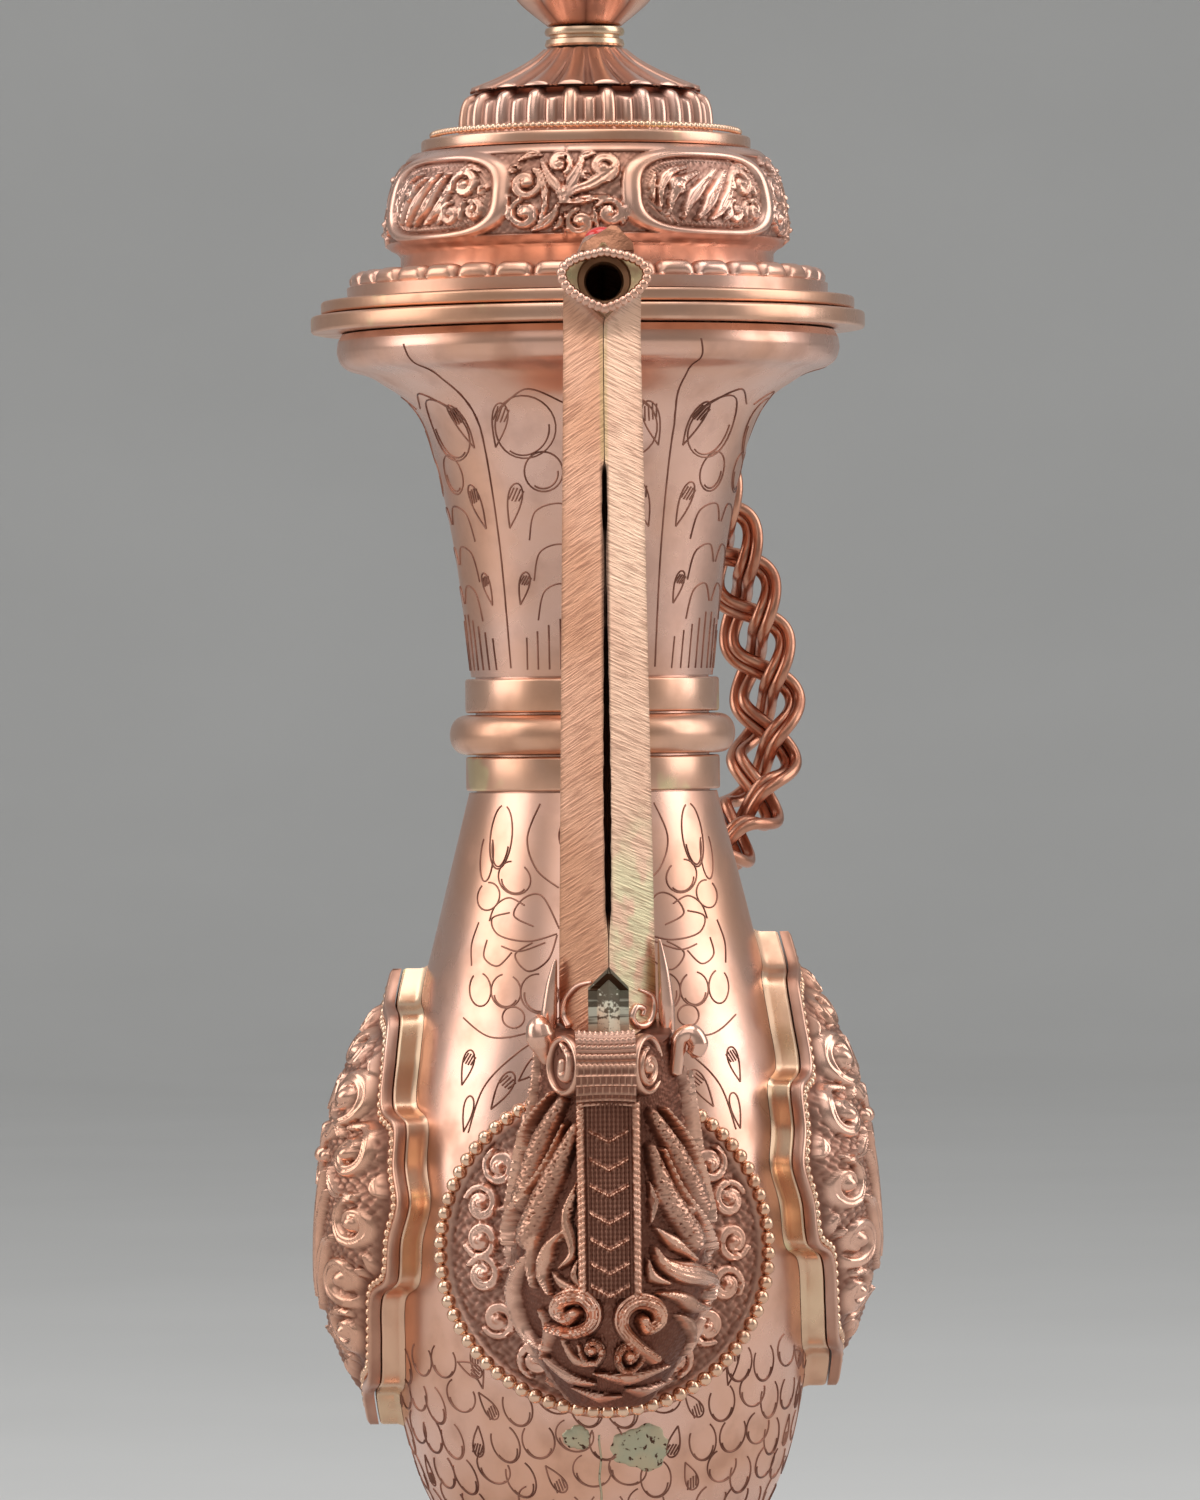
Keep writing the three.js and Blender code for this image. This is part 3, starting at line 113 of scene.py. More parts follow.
class Shade:
    """One output of a node in a material. Arithmetic on it adds the Math nodes."""

    def __init__(self, tree, output=None):
        self.tree = tree
        self.output = output

    def node(self, kind, settings=(), values=()):
        made = self.tree.nodes.new(kind)
        for name, value in dict(settings).items():
            setattr(made, name, value)
        for name, value in dict(values).items():
            if isinstance(value, Shade):
                self.tree.links.new(value.output, made.inputs[name])
            else:
                made.inputs[name].default_value = value
        return Shade(self.tree, made.outputs[0])

    def out(self, name):
        return Shade(self.tree, self.output.node.outputs[name])

    def math(self, operation, *values):
        return self.node("ShaderNodeMath", {"operation": operation}, enumerate(values))

    def __add__(self, other):
        return self.math("ADD", self, other)

    def __sub__(self, other):
        return self.math("SUBTRACT", self, other)

    def __rsub__(self, other):
        return self.math("SUBTRACT", other, self)

    def __mul__(self, other):
        return self.math("MULTIPLY", self, other)

    __radd__ = __add__
    __rmul__ = __mul__

    def between(self, low, high):
        """0 below low, 1 above high, and a smooth step between."""
        limits = {"Value": self, "From Min": low, "From Max": high}
        return self.node("ShaderNodeMapRange", {"interpolation_type": "SMOOTHSTEP"}, limits)

    def mixed(self, first, second):
        """The colour that goes from first to second as this value goes from 0 to 1."""
        made = self.node("ShaderNodeMix", {"data_type": "RGBA"}, {0: self, 6: first, 7: second})
        return made.out(2)

    def tipped(self, degrees):
        """This place turned about its Y axis."""
        rotation = (0, math.radians(degrees), 0)
        return self.node("ShaderNodeMapping", {}, {"Vector": self, "Rotation": rotation})

    def noise(self, scale, detail=3, stretch=(1, 1, 1)):
        """Noise over this place; scale is in features per metre."""
        place = self.node("ShaderNodeMapping", {}, {"Vector": self, "Scale": stretch})
        values = {"Vector": place, "Scale": scale, "Detail": detail}
        return self.node("ShaderNodeTexNoise", {}, values).out("Fac")


def start_material(name):
    """A new material, its principled shader and a Shade that holds the object's own place."""
    made = bpy.data.materials.new(name)
    made.use_nodes = True
    tree = made.node_tree
    place = Shade(tree).node("ShaderNodeTexCoord").out("Object")
    return made, tree.nodes["Principled BSDF"], place


def attach(shader, socket, shade):
    shade.tree.links.new(shade.output, shader.inputs[socket])


floor_material, floor_shader, floor_place = start_material("pale_floor")
floor_tint = floor_place.noise(6).mixed((0.60, 0.60, 0.59, 1), (0.66, 0.66, 0.65, 1))
attach(floor_shader, "Base Color", floor_tint)
floor_shader.inputs["Roughness"].default_value = 0.7


def turns(count):
    """Evenly spaced angles round a circle."""
    return np.linspace(0, 2 * math.pi, count, endpoint=False)


BOWL_FLAT = 2.6
BOWL_CURVE = 1.2
WALL_TOP = 1.7
BOWL_FACETS = 96
bowl_line = [(BOWL_FLAT / 4, 0.0), (BOWL_FLAT, 0.0)]
for rise in np.linspace(0.1, math.pi / 2, 16):
    bowl_line.append((BOWL_FLAT + BOWL_CURVE * math.sin(rise), BOWL_CURVE * (1 - math.cos(rise))))
bowl_line.append((BOWL_FLAT + BOWL_CURVE, WALL_TOP))
bowl_points = [
    (out * math.cos(turn) / MM, out * math.sin(turn) / MM, up / MM)
    for out, up in bowl_line
    for turn in turns(BOWL_FACETS)
]
bowl_faces = [tuple(range(BOWL_FACETS))]
for near in range(0, (len(bowl_line) - 1) * BOWL_FACETS, BOWL_FACETS):
    far = near + BOWL_FACETS
    for k in range(BOWL_FACETS):
        after = (k + 1) % BOWL_FACETS
        bowl_faces.append((near + k, far + k, far + after, near + after))
backdrop = mesh_object("backdrop", bowl_points, bowl_faces)
backdrop.data.materials.append(floor_material)

# The foot: a closed base plate inside a plain rim, a lotus ring, a flared stem and a cast knop.
# It is beaten from the same pink copper as the vessel and soldered together ring by ring.
SHEET_PINK = (0.84, 0.53, 0.43, 1)
SHEET_ORANGE = (0.76, 0.42, 0.29, 1)
PATINA = (0.19, 0.075, 0.05, 1)
SOLDER = (0.80, 0.69, 0.38, 1)


def metal(made, shader, colour, roughness, height=None):
    """Ends a started material as metal, with its relief given as a height in metres."""
    attach(shader, "Base Color", colour)
    shader.inputs["Metallic"].default_value = 1
    attach(shader, "Roughness", roughness)
    if height:
        bump = height.node("ShaderNodeBump", {}, {"Height": height, "Distance": 1.0})
        attach(shader, "Normal", bump)
    return made


def copper(name, light, warm, roughness, hammered=0.00004, brushed=0.0, stain=0.0, grain=0.000004):
    """Polished copper: clouded colour, patina in the hollows, hammer marks and fine file lines.
    The hollows are the places where the mesh's own hollow attribute is high."""
    made, shader, place = start_material(name)
    cloud = place.noise(38, 4).between(0.32, 0.68)
    film = place.noise(150, 5).between(0.45, 0.75)
    hollow = place.node("ShaderNodeAttribute", {"attribute_name": "hollow"}).out("Fac")
    colour = (film * 0.22).mixed(cloud.mixed(light, warm), PATINA)
    if stain:
        spots = place.noise(70, 3).between(0.62, 0.70) * stain
        colour = spots.mixed(colour, SOLDER)
    colour = hollow.mixed(colour, PATINA)
    roughness = film * 0.12 + cloud * 0.05 + hollow * 0.25 + roughness
    lines = place.noise(900, 2, (1, 1, 0.04)) if brushed else place.noise(1400, 2)
    beaten = place.noise(110, 1) * hammered + lines * (brushed or grain)
    return metal(made, shader, colour, roughness, beaten)


sheet_copper = copper("sheet_copper", SHEET_PINK, SHEET_ORANGE, 0.25)
cast_copper = copper("cast_copper", (0.86, 0.53, 0.41, 1), SHEET_ORANGE, 0.22, 0.00002)


def finished(piece, body, slot, material, *nodes):
    """Gives a piece its finish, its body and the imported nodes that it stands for."""
    if not piece.data.materials:
        piece.data.materials.append(material)
    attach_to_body(piece, body)
    if nodes:
        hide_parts(*nodes)


def unit(rows):
    """The same directions with a length of 1."""
    return rows / np.linalg.norm(rows, axis=-1, keepdims=True)


def eased(outline, radius=0.35, steps=3):
    """A closed outline with each corner rounded; points on the axis stay sharp."""
    points = np.asarray(outline, float)
    made = []
    for i, corner in enumerate(points):
        into, out = points[i - 1] - corner, points[(i + 1) % len(points)] - corner
        if corner[0] == 0:
            made.append(corner)
            continue
        reach = min(radius, 0.4 * np.linalg.norm(into), 0.4 * np.linalg.norm(out))
        start, end = corner + unit(into) * reach, corner + unit(out) * reach
        for t in np.linspace(0, 1, steps + 1):
            made.append((1 - t) ** 2 * start + 2 * t * (1 - t) * corner + t**2 * end)
    return np.array(made)


def polar(reach, turn, height):
    """Points round the axis; a turn of 0 is the front."""
    return np.stack([reach * np.sin(turn), -reach * np.cos(turn), height + 0 * turn], -1)


def turned(name, outline, facets=160, shape=None, smooth_degrees=40):
    """A piece turned from an anticlockwise outline of [radius, height]; shape moves its points."""
    outline = np.asarray(outline, float)
    radius, height, turn = np.broadcast_arrays(outline[:, :1], outline[:, 1:], turns(facets))
    hollow = np.zeros_like(turn)
    if shape:
        radius, height, hollow = shape(radius, height, turn)
    return wrapped(name, polar(radius, turn, height), hollow, smooth_degrees, close_rows=True)


def wrapped(name, points, hollow=None, smooth_degrees=40, close_rows=False):
    """A skin over rows of points that close round; the rows close too, or end in flat caps."""
    rows, count = points.shape[:2]
    at_pole = np.linalg.norm(points - points[:, :1], axis=-1).max(1) < 1e-6
    index = np.arange(rows * count).reshape(rows, count)
    index[at_pole] = index[at_pole, :1]
    faces = []
    for i in range(rows if close_rows else rows - 1):
        j = (i + 1) % rows
        if at_pole[i] and at_pole[j]:
            continue
        near, far = index[i], index[j]
        quads = np.stack([near, np.roll(near, -1), np.roll(far, -1), far], -1)
        faces += [list(dict.fromkeys(quad)) for quad in quads.tolist()]
    if not close_rows and not at_pole[0]:
        faces.append(index[0, ::-1].tolist())
    if not close_rows and not at_pole[-1]:
        faces.append(index[-1].tolist())
    made = mesh_object(name, points.reshape(-1, 3), faces, smooth_degrees)
    if hollow is not None:
        attribute = made.data.attributes.new("hollow", "FLOAT", "POINT")
        attribute.data.foreach_set("value", np.clip(hollow, 0, 1).astype(np.float32).ravel())
    work = bmesh.new()
    work.from_mesh(made.data)
    loose = [v for v in work.verts if not v.link_faces]
    bmesh.ops.delete(work, geom=loose, context="VERTS")
    bmesh.ops.recalc_face_normals(work, faces=work.faces)
    work.to_mesh(made.data)
    work.free()
    return made


base_plate = turned("base_plate", eased([(0, 0), (29.6, 0), (29.6, 1.5), (0, 1.5)]))
finished(base_plate, "vessel", "sheet_copper", sheet_copper, "foot_base_plate")
rim_outline = [(30, 0), (36, 0), (36, 2.8), (34.8, 4), (30, 4)]
foot_ring = turned("foot_ring", eased(rim_outline, 0.8, 4))
finished(foot_ring, "vessel", "sheet_copper", sheet_copper, "foot_rim")

FOOT_PETALS = 16
FOOT_PETAL_TOP = 13.0
FOOT_PETAL_LENGTH = 8.7


def off_middle(turn, count, phase=0.0):
    """0 in the middle of each of count cells round the axis, 1 between them."""
    return np.abs((turn * count / (2 * math.pi) + phase) % 1 - 0.5) * 2


def bell(away, width):
    """A bell curve, 1 where away is 0."""
    return np.exp(-((away / width) ** 2))


def held(value):
    """The value kept between 0 and 1."""
    return np.clip(value, 0, 1)


def foot_petals(radius, height, turn):
    """Round petals that hang from the top of the ring, each with a raised edge and a middle rib."""
    drop = held((FOOT_PETAL_TOP - height) / FOOT_PETAL_LENGTH)
    across = off_middle(turn, FOOT_PETALS, 0.5)
    edge = np.sqrt(held(1 - drop**3))
    inside = held((edge * 0.25 + 0.75 - across) * 5)
    rim, rib = bell(across - 0.72, 0.09), bell(across, 0.1)
    outer = radius > 26
    lift = (inside - 1) * 1.6 * drop + (0.45 * rim + 0.35 * rib) * drop
    hollow = (1 - inside) * 0.8 + 0.25 * (1 - rim) * (1 - rib) * drop
    return radius + np.where(outer, lift - 0.4, 0), height, np.where(outer, hollow, 0.3)


petal_side = [
    (34.4 - 7.9 * t**1.6 + 1.4 * math.sin(math.pi * t), 4.3 + FOOT_PETAL_LENGTH * t)
    for t in np.linspace(0, 1, 22)
]
lotus_outline = [(29.4, 4.3), *petal_side, (25.2, FOOT_PETAL_TOP)]
foot_lotus = turned("foot_lotus", lotus_outline, FOOT_PETALS * 20, foot_petals, 60)
finished(foot_lotus, "vessel", "cast_copper", cast_copper, "foot_lotus")


def spline(points, steps):
    """Points on the smooth line through the given ones."""
    points = np.asarray(points, float)
    made = []
    for place in np.linspace(0, len(points) - 1, steps + 1):
        i = min(int(place), len(points) - 2)
        t = place - i
        p0, p1 = points[max(i - 1, 0)], points[i]
        p2, p3 = points[i + 1], points[min(i + 2, len(points) - 1)]
        v0, v1 = (p2 - p0) / 2, (p3 - p1) / 2
        cubic = (2 * p1 - 2 * p2 + v0 + v1) * t**3 + (-3 * p1 + 3 * p2 - 2 * v0 - v1) * t**2
        made.append(cubic + v0 * t + p1)
    return np.array(made)


flare_side = spline([(26.4, 13.3), (18.0, 16.8), (11.9, 21.1), (9.5, 25.0), (9.5, 30.4)], 24)
flare_inside = [(r - 2.0, z) for r, z in flare_side[::-1]]
foot_flare = turned("foot_flare", [*flare_side, *flare_inside])
finished(foot_flare, "vessel", "sheet_copper", sheet_copper, "foot_flare")

knop_side = [
    (9.8 + 3.7 * math.sin(math.pi * t) ** 0.55, 25.2 + 5.0 * t) for t in np.linspace(0, 1, 21)
]
stem_knop = turned("stem_knop", knop_side)
rim_copper = copper(
    "rim_copper", (0.80, 0.49, 0.36, 1), (0.72, 0.39, 0.25, 1), 0.26, 0.00003, 0.000012, 0.6
)
finished(stem_knop, "vessel", "brass_sheet", rim_copper, "stem_knop")

# The belly: one sheet raised by hammer into an upright pear, with a short tube at its top that
# the collar and the neck are soldered round. Its outside is chased with leaves and petals.
BELLY_WALL = 1.3
belly_side = [(11.0, 30.7), (23.23, 41.7), (31.33, 57.65), (35.2, 85.7), (32.74, 115.15)]
belly_side = spline([*belly_side, (25.97, 143.01), (20.4, 165.3)], 72)


def directions(line):
    """The direction of a line at each of its points."""
    return unit(np.gradient(line, axis=0))


def inside_of(line, wall):
    """The same line moved inwards by the wall."""
    run = directions(line)
    return np.stack([line[:, 0] - wall * run[:, 1], line[:, 1] + wall * run[:, 0]], 1)


belly_inside = inside_of(belly_side, BELLY_WALL)[2:-1][::-3]
belly_tube = [(19.2, 165.3), (19.2, 174.8), (17.9, 174.8), (17.9, 162.7)]
belly_outline = [(0, 30.7), *belly_side, *belly_tube, *belly_inside, (0, 32.7)]
belly = turned("belly", belly_outline, 192)
finished(belly, "vessel", "sheet_copper", sheet_copper, "body_shell")

# The collar over the seam of belly and neck: two flat bands and a plump ring between them, in
# yellower metal that the solder has run over.
BAND_HEIGHT = 5.6
for name, low in (("lower_band", 165.6), ("upper_band", 178.4)):
    top = low + BAND_HEIGHT
    band = turned(name, eased([(19.5, low), (20.9, low), (20.9, top), (19.5, top)], 0.5))
    finished(band, "vessel", "brass_sheet", rim_copper, "collar_" + name)
ring_side = [
    (19.5 + 4.0 * abs(math.sin(math.pi * t)) ** 0.6, 174.8 - 3.3 * math.cos(math.pi * t))
    for t in np.linspace(0, 1, 25)
]
collar_ring = turned("collar_ring", ring_side)
finished(collar_ring, "vessel", "sheet_copper", rim_copper, "collar_ring")

# The neck: a tall raised trumpet that rolls out under the mouth flange, chased in panels.
neck_side = [(19.9, 184.3), (22.68, 206.98), (27.5, 226.26), (34.6, 233.1), (39.9, 235.2)]
neck_side = spline([*neck_side, (41.3, 237.4), (41.2, 239.6)], 60)
neck_inside = inside_of(neck_side, BELLY_WALL)[2:-4][::-2]
neck_foot = [(17.9, 184.6), (17.9, 175.1), (19.2, 175.1), (19.2, 184.3)]
neck_outline = [*neck_foot[2:], *neck_side, (40.6, 240.7), (39.5, 240.7), *neck_inside]
neck = turned("neck", [*neck_outline, *neck_foot[:2]], 192)
finished(neck, "vessel", "sheet_copper", sheet_copper, "neck_shell")

# The mouth flange and the lid's flange: thick flat discs, filed at the edge. A plain sleeve under
# the lid's flange locates it in the mouth.
flange = turned("mouth_flange", eased([(30, 241), (45.6, 241), (45.6, 243.8), (30, 243.8)], 0.6))
finished(flange, "vessel", "brass_sheet", rim_copper, "rim_flange")
lid_disc = turned("lid_disc", eased([(0, 244.1), (43.9, 244.1), (43.9, 246.2), (0, 246.2)], 0.5))
finished(lid_disc, "lid", "brass_sheet", rim_copper, "lid_flange")
sleeve_outline = [(28.2, 235.8), (29.5, 235.8), (29.5, 243.8), (28.2, 243.8)]
lid_sleeve = turned("lid_sleeve", eased(sleeve_outline, 0.3))
finished(lid_sleeve, "lid", "sheet_copper", sheet_copper, "lid_sleeve")

# The medallions: plates of thick copper chased from behind, set on standing brass collars that
# are soldered to the belly. The front one is oval with a beaded wire, the side ones are lobed.
MEDALLION_CURVE = 39.1
FRONT_CENTRE = 92.3
FRONT_WIDE = 29
FRONT_HIGH = 27
PLATE_BACK = (1.0, 0.8, 0.5, 0.2, 0.0)


def wall_radius(side, height):
    """How far a turned wall stands from the axis at a height."""
    return np.interp(height, side[:, 1], side[:, 0])


def on_belly(azimuth, u, v, lift):
    """Points that stand off the belly: u runs round it, v is a height."""
    return polar(wall_radius(belly_side, v) + lift, azimuth + u / MEDALLION_CURVE, v)


def medallion_collar(name, azimuth, centre, outline, height):
    """A standing wall on the belly, along an outline of (sideways, upwards) pairs."""
    size = np.linalg.norm(outline, axis=1, keepdims=True)
    wall = [(0.5, 0.05), (0.18, 0.5), (0.0, 1.1), (0.0, height - 0.5), (-0.15, height - 0.1)]
    wall += [(-0.4, height), (-0.9, height), (-1.1, height - 0.3), (-1.1, 0.05)]
    rows = []
    for out, lift in wall:
        u, v = (outline * (1 + out / size)).T
        rows.append(on_belly(azimuth, u, centre + v, lift))
    return wrapped(name, np.array(rows), None, 50, close_rows=True)


def medallion_plate(name, azimuth, centre, outline, back, profile, relief, rings=96):
    """A plate over an outline. The profile gives the lift of its ground at each share of it."""
    share = np.linspace(0, 1, rings)[:, None]
    u, v = outline.T[:, None] * share
    strands = relief(u, v, share + 0 * u)
    front = on_belly(azimuth, u, centre + v, np.interp(share, *zip(*profile)) + strands)
    u, v = outline.T[:, None] * np.array(PLATE_BACK)[:, None]
    back_face = on_belly(azimuth, u, centre + v, back)
    hollow = np.concatenate([held(0.95 - strands * 0.9), np.full(u.shape, 0.4)])
    return wrapped(name, np.concatenate([front, back_face]), hollow, 70)


def ellipse(wide, high, count):
    """Pairs round an ellipse, from its top."""
    return np.stack([wide * np.sin(turns(count)), high * np.cos(turns(count))], -1)


brass_sheet = copper(
    "brass_sheet", (0.80, 0.57, 0.38, 1), (0.78, 0.48, 0.33, 1), 0.24, 0.00005, 0.00002, 0.7
)
round_outline = ellipse(FRONT_WIDE, FRONT_HIGH, 400)
front_collar = medallion_collar("front_collar", 0, FRONT_CENTRE, round_outline, 3.0)
finished(front_collar, "vessel", "brass_sheet", brass_sheet, "front_medallion_collar")


def rounded(away, half):
    """The height of a half-round ridge: 1 where away is 0, and 0 from half outwards."""
    return np.sqrt(held(1 - (away / half) ** 2))


def pebbled(u, v, a, b, c, d=0, twist=1):
    """Gentle bumps between -1 and 1, as on a ground that is beaten with a punch."""
    return np.sin(a * u + twist * np.sin(b * v)) * np.sin(c * v + twist * np.sin(d * u))


def carved(u, v, strands, combs=0):
    """How high rounded strands stand on a plate. A strand has a line of points, its half width
    at the ends and in the middle, its height and the depth of the groove along it; combs adds
    that many fine grooves to each side of it."""
    height = np.zeros_like(u)
    for points, (start, middle, end), lift, groove in strands:
        line = spline(points, 4 * len(points)) if len(points) > 2 else np.array(points, float)
        share = np.linspace(0, 1, len(line))
        half = np.interp(share, [0, 0.5, 1], [start, middle, end])
        nearest = np.full_like(u, 9.0)
        for a, b, first, last in zip(line[:-1], line[1:], half[:-1], half[1:]):
            run = b - a
            t = held(((u - a[0]) * run[0] + (v - a[1]) * run[1]) / (run @ run))
            away = np.hypot(u - a[0] - t * run[0], v - a[1] - t * run[1])
            nearest = np.minimum(nearest, away / (first + (last - first) * t))
        crown = lift * rounded(nearest, 1)
        if combs:
            crown -= 0.5 * groove * lift * (1 - np.cos(2 * math.pi * combs * nearest))
        else:
            crown -= groove * lift * bell(nearest, 0.22)
        height = np.maximum(height, crown)
    return height


def curl(u, v, radius, start, wound, wide=0.95, lift=1.1, steps=14):
    """A scroll that winds in from its rim to a knob in its middle; wound below 0 winds back."""
    t = np.linspace(0, 1, steps)
    reach, angle = radius * (1 - 0.72 * t), np.radians(start + 360 * wound * t)
    winding = np.stack([u + reach * np.cos(angle), v + reach * np.sin(angle)], -1)
    knob = [(u - 0.05, v), (u + 0.05, v)]
    return [
        [winding, (wide * 0.5, wide, wide * 0.6), lift, 0.25],
        [knob, (radius * 0.34,) * 3, lift * 1.35, 0],
    ]


def leaf(points, wide=1.15, lift=1.1, groove=0.35):
    return [[points, (wide * 0.25, wide, wide * 0.3), lift, groove]]


front_curls = []
for u, v, start, way in (
    (-20.5, 1.6, 200, 1), (-20.1, -3.9, 150, -1), (-17.6, -11.2, 210, 1), (-20.6, 7.4, 160, -1),
    (-17.4, 13.4, 120, 1), (17.6, 13.4, 60, -1), (20.8, 7.6, 20, 1), (21.2, 0.8, -20, -1),
    (19.8, -6.1, -30, 1), (16.4, -12.8, -60, -1), (-11.6, -17.6, 250, -1), (-4.4, -20.4, 270, 1),
    (4.4, -20.4, -90, -1), (11.0, -17.8, -70, 1), (-12.0, 18.0, 110, -1), (-5.0, 20.6, 90, 1),
    (5.0, 20.6, 70, -1), (12.0, 18.0, 80, 1),
):
    front_curls += curl(u, v, 2.95, start, way * 1.38, 1.1, 1.5)
    stem = [(u * 0.86, v * 0.86), (u * 0.78, v * 0.80 + 0.8), (u * 0.7, v * 0.74)]
    front_curls += leaf(stem, 0.7)


def front_field(u, v, share):
    pebbles = 0.2 + 0.2 * pebbled(u, v, 3.1, 2.3, 3.3, 1.9)
    lip = 0.9 * rounded(share - 0.955, 0.05)
    return np.maximum.reduce([carved(u, v, front_curls), lip, pebbles])


FRONT_PROFILE = [(0, 4.2), (0.9, 4.1), (1, 3.9)]
front_plate = medallion_plate(
    "front_plate", 0, FRONT_CENTRE, round_outline, 3.3, FRONT_PROFILE, front_field
)
field_copper = copper(
    "field_copper", (0.86, 0.53, 0.41, 1), (0.76, 0.42, 0.30, 1), 0.26, 0.00002, grain=0.00006
)
finished(front_plate, "vessel", "cast_copper", field_copper, "front_medallion_plate")


class Nodes:
    """A Geometry Nodes tree for one kind of repeated or swept shape."""

    def __init__(self, name, sizes):
        self.tree = bpy.data.node_groups.new(name, "GeometryNodeTree")
        face = self.tree.interface
        face.new_socket("Geometry", in_out="INPUT", socket_type="NodeSocketGeometry")
        face.new_socket("Geometry", in_out="OUTPUT", socket_type="NodeSocketGeometry")
        for size, kind, value in sizes:
            made = face.new_socket(size, in_out="INPUT", socket_type="NodeSocket" + kind)
            made.default_value = value
        self.given = self.tree.nodes.new("NodeGroupInput")
        self.result = self.tree.nodes.new("NodeGroupOutput")

    def node(self, kind, **values):
        made = self.tree.nodes.new("GeometryNode" + kind)
        for name, value in values.items():
            socket = made.inputs[name.replace("_", " ")]
            if isinstance(value, bpy.types.NodeSocket):
                self.tree.links.new(value, socket)
            else:
                socket.default_value = value
        return made.outputs[0]

    def size(self, name):
        return self.given.outputs[name]

    def end(self, geometry, material):
        whole = self.node("RealizeInstances", Geometry=geometry)
        smooth = self.node("SetShadeSmooth", Geometry=whole)
        coated = self.node("SetMaterial", Geometry=smooth, Material=material)
        self.tree.links.new(coated, self.result.inputs[0])
        return self.tree


def grown(name, lines, tree, closed=False, **sizes):
    """The plain mesh that a tree grows along lines, each a list of points in millimetres."""
    data = bpy.data.curves.new(name, "CURVE")
    data.dimensions = "3D"
    for line in lines:
        made = data.splines.new("POLY")
        made.points.add(len(line) - 1)
        flat = np.concatenate([np.asarray(line, float) * MM, np.ones((len(line), 1))], 1)
        made.points.foreach_set("co", flat.ravel())
        made.use_cyclic_u = closed
    source = linked(name + "_path", data)
    modifier = source.modifiers.new("grow", "NODES")
    modifier.node_group = tree
    for item in tree.interface.items_tree:
        if item.in_out == "INPUT" and item.name in sizes:
            modifier[item.identifier] = sizes[item.name]
    bpy.context.view_layer.update()
    evaluated = source.evaluated_get(bpy.context.evaluated_depsgraph_get())
    mesh = bpy.data.meshes.new_from_object(evaluated)
    mesh.name = name
    bpy.data.objects.remove(source)
    return linked(name, mesh)


def beaded_wire(material):
    """Beads set side by side along a path on a thin wire."""
    sizes = [("Count", "Int", 60), ("Radius", "Float", 0.001), ("Wire", "Float", 0.0005)]
    tree = Nodes("beaded_wire_" + material.name, sizes)
    path = tree.given.outputs[0]
    spaced = tree.node("ResampleCurve", Curve=path, Count=tree.size("Count"))
    bead = tree.node("MeshUVSphere", Segments=14, Rings=9, Radius=tree.size("Radius"))
    beads = tree.node("InstanceOnPoints", Points=spaced, Instance=bead)
    section = tree.node("CurvePrimitiveCircle", Resolution=6, Radius=tree.size("Wire"))
    core = tree.node("CurveToMesh", Curve=path, Profile_Curve=section, Fill_Caps=True)
    joined = tree.tree.nodes.new("GeometryNodeJoinGeometry")
    for part in (core, beads):
        tree.tree.links.new(part, joined.inputs[0])
    return tree.end(joined.outputs[0], material)


BEAD_INSET = 1.1
bead_copper = copper(
    "bead_copper", (0.88, 0.60, 0.43, 1), (0.80, 0.47, 0.31, 1), 0.18, stain=0.15
)
brass_beads = beaded_wire(bead_copper)
u, v = ellipse(FRONT_WIDE - BEAD_INSET, FRONT_HIGH - BEAD_INSET, 400).T
bead_line = on_belly(0, u, FRONT_CENTRE + v, 5.2)
front_beads = grown(
    "front_beads", [bead_line], brass_beads, True, Count=70, Radius=0.0012, Wire=0.0003
)
finished(front_beads, "vessel", "brass_sheet", bead_copper, "front_medallion_bead_wire")

# The side medallions: a cloud-edged plate with a beaded line, and in it deep scrolls round a
# flower and a fan of leaves.
SIDE_WIDE = 24.7
SIDE_HIGH = 37.5
BRACKET = [(0, 1), (0.2, 0.86), (0.46, 0.79), (0.58, 0.62), (0.66, 0.42)]
BRACKET += [(0.88, 0.34), (0.92, 0.16)]
quarter = [(SIDE_WIDE * u, SIDE_HIGH * v) for u, v in BRACKET]
half = [*quarter, (SIDE_WIDE, 0), *[(u, -v) for u, v in quarter[:0:-1]]]
bracket_line = spline([*half, *[(-u, -v) for u, v in half], half[0]], 560)[:-1]


def run_along(line):
    """How far along a line each of its points lies."""
    return np.concatenate([[0], np.cumsum(np.linalg.norm(np.diff(line, axis=0), axis=1))])


def spread(line, places):
    """The points at the given lengths along a line."""
    return np.stack([np.interp(places, run_along(line), axis) for axis in line.T], -1)


even = np.linspace(0, run_along(bracket_line)[-1], 440, endpoint=False)
bracket_outline = spread(bracket_line, even)

